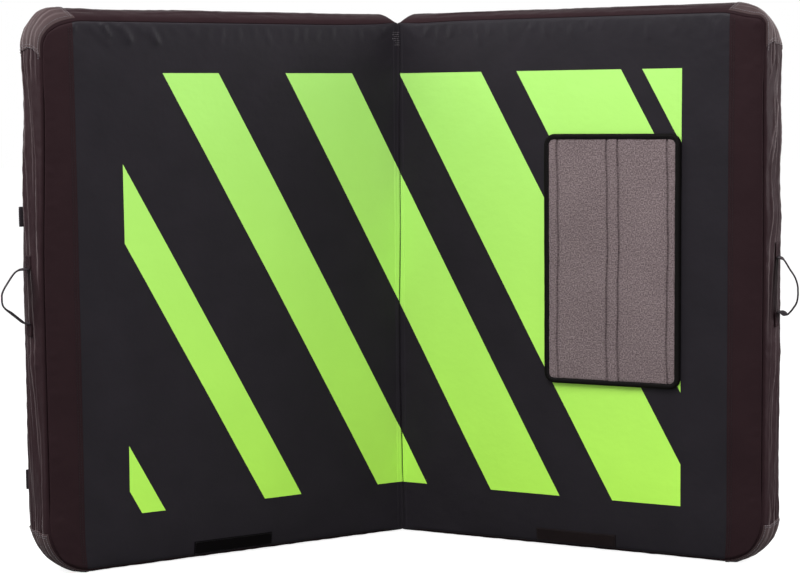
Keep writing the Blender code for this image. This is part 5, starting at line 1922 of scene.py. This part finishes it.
@dataclass
class Closure:
    """Closure strap on the back: its sewn anchor, the strap that swings out and its half of the buckle."""

    shell: PadShell
    label: str
    height: float
    outer: float
    seat: float = 0.1003
    inner: float = 0.690
    width: float = 0.036
    start: float = 0.688
    plug_strap: float = 0.150
    socket_strap: float = 0.070
    anchor_wall: float = 0.0040
    strap_wall: float = 0.0019
    sewn: float = 0.0043
    buckle: float = 0.048

    def build(self, shop: Workshop) -> None:
        """Make the anchor, the strap and the buckle."""
        half, z, stem = self.shell.half, self.height, f"{self.shell.half.name}_closure"
        body = f"{stem}_{self.label}"
        plug = half.side < 0
        kind = "plug" if plug else "socket"
        end = self.start - (self.plug_strap if plug else self.socket_strap)
        foot = points_at(np.linspace(self.inner, self.outer, 14), self.seat + 0.0021, z)
        bar = end - 0.0028
        path = smooth_path(((self.start, 0.0010), (end + 0.060, 0.0010), (end + 0.010, 0.0010), (bar, 0.0013),
                            (bar - 0.0026, 0.0026), (bar - 0.0026, 0.0054), (bar, 0.0068), (end + 0.006, 0.0056),
                            (end + 0.013, 0.0034), (end + 0.036, 0.0031)), 110)
        folded = points_at(path[:, 0], self.seat + path[:, 1], z)
        edge = self.width / 2 - 0.004
        for part, carrier, line, thickness, low, high in (
                ("anchor", half.body, foot, self.anchor_wall, self.inner + 0.004, self.outer - 0.006),
                ("strap", body, folded, self.strap_wall, end + 0.016, end + 0.032)):
            name = f"{stem}_{part}_{self.label}"
            strap = shop.webbing(f"{name}_webbing", half, line, (0, 0, 1), self.width, thickness)
            shop.wear(strap, carrier, "webbing", name)
            shop.sew_box(f"{name}_stitches", half, carrier, "webbing", self.seat + self.sewn,
                         (low, z - edge), (high, z + edge))
        mould = self.plug(end - 0.0003) if plug else self.socket(end - 0.0003)
        name = f"{stem}_{kind}_{self.label}"
        shop.wear(solid_object(f"{name}_moulding", half, mould, shop.finishes["moulded_acetal"]), body, "plastic", name)

    def frame(self, bm: bmesh.types.BMesh, start: float, top: float) -> None:
        """Add the two arms and the bar that the strap is sewn round."""
        wide = self.buckle / 2
        for way in (-1, 1):
            ends = sorted((self.height + way * wide, self.height + way * 0.0186))
            add_block(bm, (start - 0.0100, self.seat, ends[0]), (start, self.seat + top, ends[1]), 0.0012)
        add_block(bm, (start - 0.0040, self.seat + 0.0026, self.height - 0.0195),
                  (start - 0.0010, self.seat + 0.0054, self.height + 0.0195), 0.0010)

    def plug(self, start: float) -> bmesh.types.BMesh:
        """Make the plug: a body with two sprung, barbed arms and a guide between them."""
        seat, z, wide, body_end = self.seat, self.height, self.buckle / 2, start - 0.028
        arm = ((0.001, 0.0186), (-0.008, 0.0180), (-0.0145, 0.0200), (-0.0180, 0.0204), (-0.0205, 0.0188),
               (-0.0240, 0.0150), (-0.0236, 0.0122), (-0.0190, 0.0118), (-0.0120, 0.0128), (-0.0050, 0.0118),
               (0.001, 0.0100))
        body = plate([[(body_end, z - 0.0215), (start - 0.0085, z - wide), (start - 0.0085, z + wide),
                       (body_end, z + 0.0215), (body_end - 0.0006, z)]], seat, 0.0062, 0.0010)
        arms = [plate([[(body_end + u, z + way * x) for u, x in arm][::way]], seat + 0.0008, 0.0046, 0.0008)
                for way in (-1, 1)]
        guide = plate([[(body_end + 0.001, z - 0.003), (body_end + 0.001, z + 0.003), (body_end - 0.020, z + 0.0022),
                        (body_end - 0.0225, z), (body_end - 0.020, z - 0.0022)]], seat + 0.0014, 0.0034, 0.0007)
        bm = joined(body, *arms, guide)
        add_block(bm, (body_end + 0.004, seat + 0.0060, z - 0.012), (body_end + 0.008, seat + 0.0068, z + 0.012),
                  0.0004)
        self.frame(bm, start, 0.0062)
        return bm

    def socket(self, start: float) -> bmesh.types.BMesh:
        """Make the socket: two shells with side windows and a hollow mouth towards the fold."""
        seat, z, wide, end = self.seat, self.height, self.buckle / 2, start - 0.040
        outline = [(start - 0.0085, z - wide), (start - 0.0085, z + wide), (end + 0.018, z + wide - 0.0016),
                   (end + 0.004, z + wide), (end, z + wide - 0.003), (end + 0.0012, z), (end, z - wide + 0.003),
                   (end + 0.004, z - wide), (end + 0.018, z - wide + 0.0016)]
        bm = joined(plate([outline], seat, 0.0022, 0.0007), plate([outline], seat + 0.0096, 0.0024, 0.0009))
        add_block(bm, (end + 0.028, seat + 0.0018, z - wide + 0.0012),
                  (start - 0.0090, seat + 0.0100, z + wide - 0.0012), 0.0008)
        for way in (-1, 1):
            ends = sorted((z + way * (wide - 0.0008), z + way * 0.0192))
            add_block(bm, (end + 0.0010, seat + 0.0018, ends[0]), (end + 0.0070, seat + 0.0100, ends[1]), 0.0006)
        self.frame(bm, start, 0.0112)
        return bm


@dataclass
class Harness:
    """Carrying harness on the back: a sewn patch and two padded shoulder straps with their adjusters."""

    shell: PadShell
    centre: float = 0.330
    top: float = 0.880
    seat: float = 0.1003
    patch: tuple[float, float] = (0.190, 0.110)
    patch_corner: float = 0.015
    offsets: tuple[float, float] = (0.056, 0.125)
    widths: tuple[float, float] = (0.062, 0.034)
    strap_length: float = 0.372
    setback: float = 0.008
    thickness: float = 0.012
    bow: float = 0.075
    lock: tuple[float, float] = (0.034, 0.026)
    web_width: float = 0.025
    web_length: float = 0.120
    web_wall: float = 0.0018
    strip_wall: float = 0.0017
    binding: tuple[float, float] = (0.0064, 0.0046)
    anchor_length: float = 0.040
    anchor_wall: float = 0.0038
    stitch: Stitch = Stitch(0.0036, 0.0029, 0.0008)

    def build(self, shop: Workshop) -> None:
        """Make the patch, and each shoulder strap with its adjuster and anchor."""
        half, wide, tall = self.shell.half, self.patch[0] / 2, self.patch[1] / 2
        low, high = (self.centre - wide, self.top - tall), (self.centre + wide, self.top + tall)
        bm = plate([rounded_outline(low, high, self.patch_corner)], self.seat, 0.0015, 0.0004)
        name = f"{half.name}_harness_patch"
        piece = solid_object(f"{name}_cloth", half, bm, shop.finishes["patch_ballistic_nylon"])
        shop.wear(piece, half.body, "patch", name)
        rows = []
        for inset in (0.004, 0.009):
            ring = rounded_outline(low, high, self.patch_corner, 5, inset)
            ring = np.array(ring + ring[:1])
            rows.append(points_at(ring[:, 0], self.seat + 0.0017, ring[:, 1]))
        shop.sew(f"{name}_stitches", half, half.body, "patch", rows, EDGE_STITCH)
        for label, way in (("near", -1), ("far", 1)):
            self.strap(shop, label, way)
            self.adjuster(shop, label, way)

    def line(self, way: int, share: np.ndarray) -> np.ndarray:
        """Points along the middle of a shoulder strap."""
        core = self.seat + 0.0018 + self.thickness / 2
        return np.stack((self.centre + way * lerp(*self.offsets, share * share * (3 - 2 * share)),
                         core + self.bow * np.sin(math.pi * share),
                         self.top - self.setback - self.strap_length * share), -1)

    def strap(self, shop: Workshop, label: str, way: int) -> None:
        """Make the padded strap, with its bound edges and the webbing sewn along it."""
        half = self.shell.half
        stem, body = f"{half.name}_shoulder", f"{half.name}_shoulder_{label}"
        share = np.linspace(0, 1, 97)
        centres, widths = self.line(way, share), lerp(*self.widths, share ** 3)
        run = share * self.strap_length
        quilt = sum(np.exp(-((run - at) / 0.004) ** 2) for at in np.arange(0.06, 0.36, 0.06))
        ends = lerp(0.35, 1, smooth_step(np.minimum(run, run[-1] - run) / 0.022))
        wall = self.thickness / 2 * (1 - 0.28 * quilt) * ends
        tangent = np.gradient(centres, axis=0)
        normal = np.cross((1.0, 0.0, 0.0), tangent)
        normal = unit(normal * np.sign(normal[:, 1:2]))
        side = unit(np.cross(tangent, normal))
        place = np.sin(np.linspace(-math.pi / 2, math.pi / 2, 21))
        puff = np.clip(1 - np.abs(place) ** 3.4, 0, 1) ** 0.6 * 0.86 + 0.14
        pad, _ = band(f"{stem}_pad_{label}_cloth", half, (centres, side, normal), (place, puff), (widths, wall),
                      shop.finishes["spacer_mesh"])
        shop.wear(pad, body, "padding", f"{stem}_pad_{label}")
        for edge, sign in (("inner", -1), ("outer", 1)):
            rim = centres + side * (sign * (widths / 2 - 0.0022))[:, None]
            tape = shop.webbing(f"{stem}_binding_{label}_{edge}", half, rim, side, *self.binding, "binding_tape")
            shop.wear(tape, body, "padding")
        keep = slice(5, -2)
        raised = centres + normal * (wall + 0.0009)[:, None]
        strip = shop.webbing(f"{stem}_strip_{label}", half, raised[keep], side[keep], self.web_width,
                             self.strip_wall)
        shop.wear(strip, body, "padding")
        sewn = raised + normal * 0.0010
        rows = [(sewn + side * sign * (self.web_width / 2 - 0.0028))[8:-4] for sign in (-1, 1)]
        for at in range(8, 89, 16):
            rows += [sewn[at + step] + side[at + step] * np.linspace(-1, 1, 12)[:, None] * 0.0100 for step in (0, 1)]
        shop.sew(f"{stem}_stitches_{label}", half, body, "padding", rows, self.stitch)

    def adjuster(self, shop: Workshop, label: str, way: int) -> None:
        """Make the ladder lock, the webbing through it and the webbing's sewn anchor."""
        half, body = self.shell.half, f"{self.shell.half.name}_shoulder_{label}"
        low_u, core, strap_low = self.line(way, np.array([1.0]))[0]
        lock_top = strap_low - 0.003
        lock_low, wide = lock_top - self.lock[1], self.lock[0] / 2
        slot = self.web_width / 2 + 0.0003
        holes = [[(low_u - slot, at), (low_u - slot, at + 0.0045), (low_u + slot, at + 0.0045), (low_u + slot, at)]
                 for at in (lock_low + 0.005, lock_top - 0.0095)]
        bm = plate([rounded_outline((low_u - wide, lock_low), (low_u + wide, lock_top), 0.004, 4)] + holes,
                   core - 0.0024, 0.0048, 0.0009)
        for step in range(3):
            add_block(bm, (low_u - 0.010, core + 0.0022, lock_low + 0.0008 + step * 0.0012),
                      (low_u + 0.010, core + 0.0030, lock_low + 0.0014 + step * 0.0012), 0.0002)
        name = f"{half.name}_ladder_lock_{label}"
        shop.wear(solid_object(f"{name}_moulding", half, bm, shop.finishes["moulded_acetal"]), body, "plastic", name)
        foot, web_low = self.seat + 0.0020, lock_low - 0.0003 - self.web_length
        lines = {"stub": ((0.0068, strap_low + 0.034), (0.0066, strap_low + 0.010), (0.0048, lock_top - 0.001),
                          (0.0024, lock_top - 0.0066), (-0.0024, lock_top - 0.0066), (-0.0048, lock_top - 0.001),
                          (-0.0058, strap_low + 0.008), (-0.0062, strap_low + 0.016)),
                 "web": ((0.0105, lock_low - 0.046), (0.0082, lock_low - 0.014), (0.0048, lock_low + 0.001),
                         (0.0022, lock_low + 0.0066), (-0.0022, lock_low + 0.0066), (-0.0040, lock_low + 0.001),
                         (-0.0016, lock_low - 0.012), (0.0020, lock_low - 0.055), (foot - core, web_low + 0.012),
                         (foot - core, web_low))}
        for kind, points in lines.items():
            path = smooth_path(points, 70)
            strap = shop.webbing(f"{half.name}_shoulder_{kind}_{label}_webbing", half,
                                 points_at(low_u, core + path[:, 0], path[:, 1]), (1, 0, 0),
                                 self.web_width - 0.0008, self.web_wall)
            shop.wear(strap, body, "webbing", *([f"{half.name}_shoulder_web_{label}"] if kind == "web" else []))
        top = web_low - 0.0006
        low = top - self.anchor_length
        name = f"{half.name}_harness_anchor_{label}"
        anchor = shop.webbing(f"{name}_webbing", half, points_at(low_u, foot, np.linspace(low, top, 16)), (1, 0, 0),
                              self.web_width, self.anchor_wall)
        shop.wear(anchor, half.body, "webbing", name)
        edge = self.web_width / 2 - 0.0035
        shop.sew_box(f"{name}_stitches", half, half.body, "webbing", self.seat + 0.0041,
                     (low_u - edge, low + 0.005), (low_u + edge, top - 0.004))


@dataclass
class Studio:
    """Camera, floor and soft light."""

    eye: tuple[float, float, float] = (-0.1075, -3.6143, 0.8210)
    yaw_deg: float = 1.646
    pitch_deg: float = 5.232
    roll_deg: float = -0.536
    lens: float = 87.91
    floor_reach: float = 25.0
    lamps: tuple[tuple, ...] = (("key", (-0.6, -2.4, 3.55), (0, 0, 0.6), 2.4, 171),
                                ("left", (-2.2, -0.1, 1.6), (-0.6, 0, 0.6), 1.2, 46),
                                ("right", (2.2, -0.1, 1.1), (0.6, 0, 0.5), 1.2, 50),
                                ("overhead", (0, 0.4, 3.8), (0, 0, 0.4), 1.4, 15))

    def build(self) -> None:
        """Set everything up."""
        self.camera()
        self.floor()
        self.surround()
        self.lights()
        bpy.context.scene.view_settings.view_transform = 'Standard'

    def camera(self) -> None:
        """Place the camera where the photograph was taken from."""
        yaw, pitch, roll = (math.radians(v) for v in (self.yaw_deg, self.pitch_deg, self.roll_deg))
        ahead = Vector((math.sin(yaw) * math.cos(pitch), math.cos(yaw) * math.cos(pitch), -math.sin(pitch)))
        right = Vector((math.cos(yaw), -math.sin(yaw), 0))
        above = right.cross(ahead)
        x, y = right * math.cos(roll) + above * math.sin(roll), above * math.cos(roll) - right * math.sin(roll)
        data = bpy.data.cameras.new("camera")
        data.lens, data.sensor_width, data.sensor_fit = self.lens, 36, 'HORIZONTAL'
        data.clip_end = 60
        obj = new_object("camera", data)
        obj.matrix_world = Matrix(((x.x, y.x, -ahead.x, self.eye[0]), (x.y, y.y, -ahead.y, self.eye[1]),
                                   (x.z, y.z, -ahead.z, self.eye[2]), (0, 0, 0, 1)))
        bpy.context.scene.camera = obj

    def floor(self) -> None:
        """Lay a pale floor."""
        mesh = bpy.data.meshes.new("floor")
        corners = [(x * self.floor_reach, y * self.floor_reach, 0) for x, y in ((-1, -1), (1, -1), (1, 1), (-1, 1))]
        mesh.from_pydata(corners, [], [(0, 1, 2, 3)])
        mesh.materials.append(PaleFloor("pale_floor", "8c8c8c", "ffffff").build())
        new_object("floor", mesh)

    def surround(self) -> None:
        """Surround everything with light that is brighter where it is seen straight or mirrored."""
        world = bpy.data.worlds.new("surround")
        world.use_nodes = True
        tree = world.node_tree
        path = add_node(tree, "ShaderNodeLightPath")
        mirrored = add_node(tree, "ShaderNodeMath", {"operation": 'MAXIMUM'},
                            {0: path.outputs["Is Glossy Ray"], 1: path.outputs["Is Transmission Ray"]})
        seen = add_node(tree, "ShaderNodeMath", {"operation": 'MAXIMUM'},
                        {0: path.outputs["Is Camera Ray"], 1: mirrored})
        level = add_node(tree, "ShaderNodeMath", {"operation": 'MULTIPLY_ADD'}, {0: seen, 1: 0.60, 2: 0.40})
        feed(tree, tree.nodes["Background"], {"Strength": level, "Color": (1, 1, 1, 1)})
        bpy.context.scene.world = world

    def lights(self) -> None:
        """Hang large soft lamps above, in front and at both sides."""
        for name, place, aim, size, watts in self.lamps:
            lamp = bpy.data.lights.new(name, 'AREA')
            lamp.size, lamp.energy = size, watts
            obj = new_object(name, lamp)
            obj.location = place
            obj.rotation_euler = (Vector(aim) - Vector(place)).to_track_quat('-Z', 'Y').to_euler()


def puckers(left: bool) -> tuple[FoldLine, ...]:
    """Creases of a landing face: small ones along its seams, and a few long soft ones."""
    rng = np.random.default_rng(31 if left else 47)
    lines = []
    at = 0.03
    while at < 0.70:
        slant = -0.9 if left and 0.42 < at < 0.64 else rng.uniform(-0.3, 0.3)
        run = rng.uniform(0.018, 0.045)
        lines.append(FoldLine((at, 0.976), (at + slant * run, 0.976 - run), rng.uniform(0.0005, 0.0013),
                              rng.uniform(0.0030, 0.0055), 0.0008))
        at += rng.uniform(0.018, 0.034)
    for edge, way, at, last, runs, slants, width, gaps in (
            (0.712, -1, 0.03, 0.97, (0.010, 0.028), (-0.4, 0.6), 0.005, (0.025, 0.05)),
            (0.006, 1, 0.04, 0.95, (0.012, 0.04), (-0.5, 0.5), 0.006, (0.03, 0.07))):
        while at < last:
            run = rng.uniform(*runs)
            lines.append(FoldLine((edge, at), (edge + way * run, at + way * rng.uniform(*slants) * run),
                                  rng.uniform(0.0003, 0.0008), rng.uniform(0.003, width), 0.0006))
            at += rng.uniform(*gaps)
    long = (((0.602, 0.978), (0.580, 0.945), 0.0030), ((0.570, 0.977), (0.540, 0.935), 0.0034),
            ((0.517, 0.976), (0.488, 0.933), 0.0030), ((0.628, 0.976), (0.575, 0.925), 0.0012),
            ((0.012, 0.974), (0.060, 0.945), 0.0005))
    for start, end, height in long if left else long[-1:]:
        lines.append(FoldLine(start, end, height, 0.006, 0.001))
    return tuple(lines)


@dataclass(frozen=True)
class Own:
    """What one half has of its own. Loop lines hold millimetres out from the end and heights in metres."""

    name: str
    side: int
    seed: int
    upper_corner: tuple[float, float]
    lower_corner: tuple[float, float]
    top_draw: float
    end_taper: float
    loop_line: tuple[tuple[float, float], ...]
    loop_anchors: tuple[float, float]
    loop_twist: float
    loop_leaning: tuple[float, float]
    tape: str
    closure_outer: float
    end_folds: tuple[FoldLine, ...] = ()


HALVES = (
    Own("left", -1, 11, upper_corner=(0.044, 0.058), lower_corner=(0.084, 0.092), top_draw=0.0215, end_taper=0.0085,
        loop_line=((0, .544), (8, .5445), (22, .5395), (35.5, .522), (45.2, .506), (47.6, .495), (45, .481),
                   (30.8, .468), (18, .457), (8, .449), (0, .449)),
        loop_anchors=(0.426, 0.569), loop_twist=0.0, loop_leaning=(0.20, 0.55), tape="hook_tape",
        closure_outer=0.722),
    Own("right", 1, 23, upper_corner=(0.020, 0.082), lower_corner=(0.080, 0.080), top_draw=0.0155, end_taper=0.002,
        loop_line=((0, .5505), (3.2, .55), (11, .5455), (21.5, .529), (32, .512), (36.6, .4925), (35, .473),
                   (27.6, .459), (20.8, .4507), (16.4, .448), (7.5, .4525), (2, .4525)),
        loop_anchors=(0.427, 0.577), loop_twist=0.10, loop_leaning=(0.18, 0.74), tape="loop_tape",
        closure_outer=0.713,
        end_folds=tuple(FoldLine((high, back), (low, front), 0.0019, 0.0024) for high, back, low, front in (
            (0.930, 0.052, 0.800, 0.030), (0.900, 0.066, 0.690, 0.018), (0.935, 0.030, 0.850, 0.012),
            (0.860, 0.046, 0.720, 0.012)))),
)
CLOSURE_HEIGHTS = {"lower": 0.161, "upper": 0.634}


def main() -> None:
    """Build and dress the pad."""
    logging.basicConfig(level=logging.INFO, format="%(name)s: %(message)s")
    Studio().build()
    fold = next(joint for joint in frame["joints"] if joint["name"] == "fold")
    shop = Workshop()
    shells = []
    for own in HALVES:
        half = Half(own.name, own.side, fold["pos_m"][1])
        shell = PadShell(half, own.seed, puckers(own.side < 0), own.end_folds, upper_corner=own.upper_corner,
                         lower_corner=own.lower_corner, top_draw=own.top_draw, end_taper=own.end_taper)
        shell.inflate()
        shells.append(shell)
        Cushion(shell).build(shop)
        HandLoop(shell, own.loop_line, own.loop_anchors, lower_twist=own.loop_twist,
                 leaning=own.loop_leaning).build(shop)
        FaceTab(shell, own.tape).build(shop)
        Zip(shell).build(shop)
        for label, height in CLOSURE_HEIGHTS.items():
            Closure(shell, label, height, own.closure_outer).build(shop)
        if own.side < 0:
            Harness(shell).build(shop)
        else:
            Carpet(shell).build(shop)
    FoldSeam(*shells).build(shop)


if __name__ == "__main__":
    main()
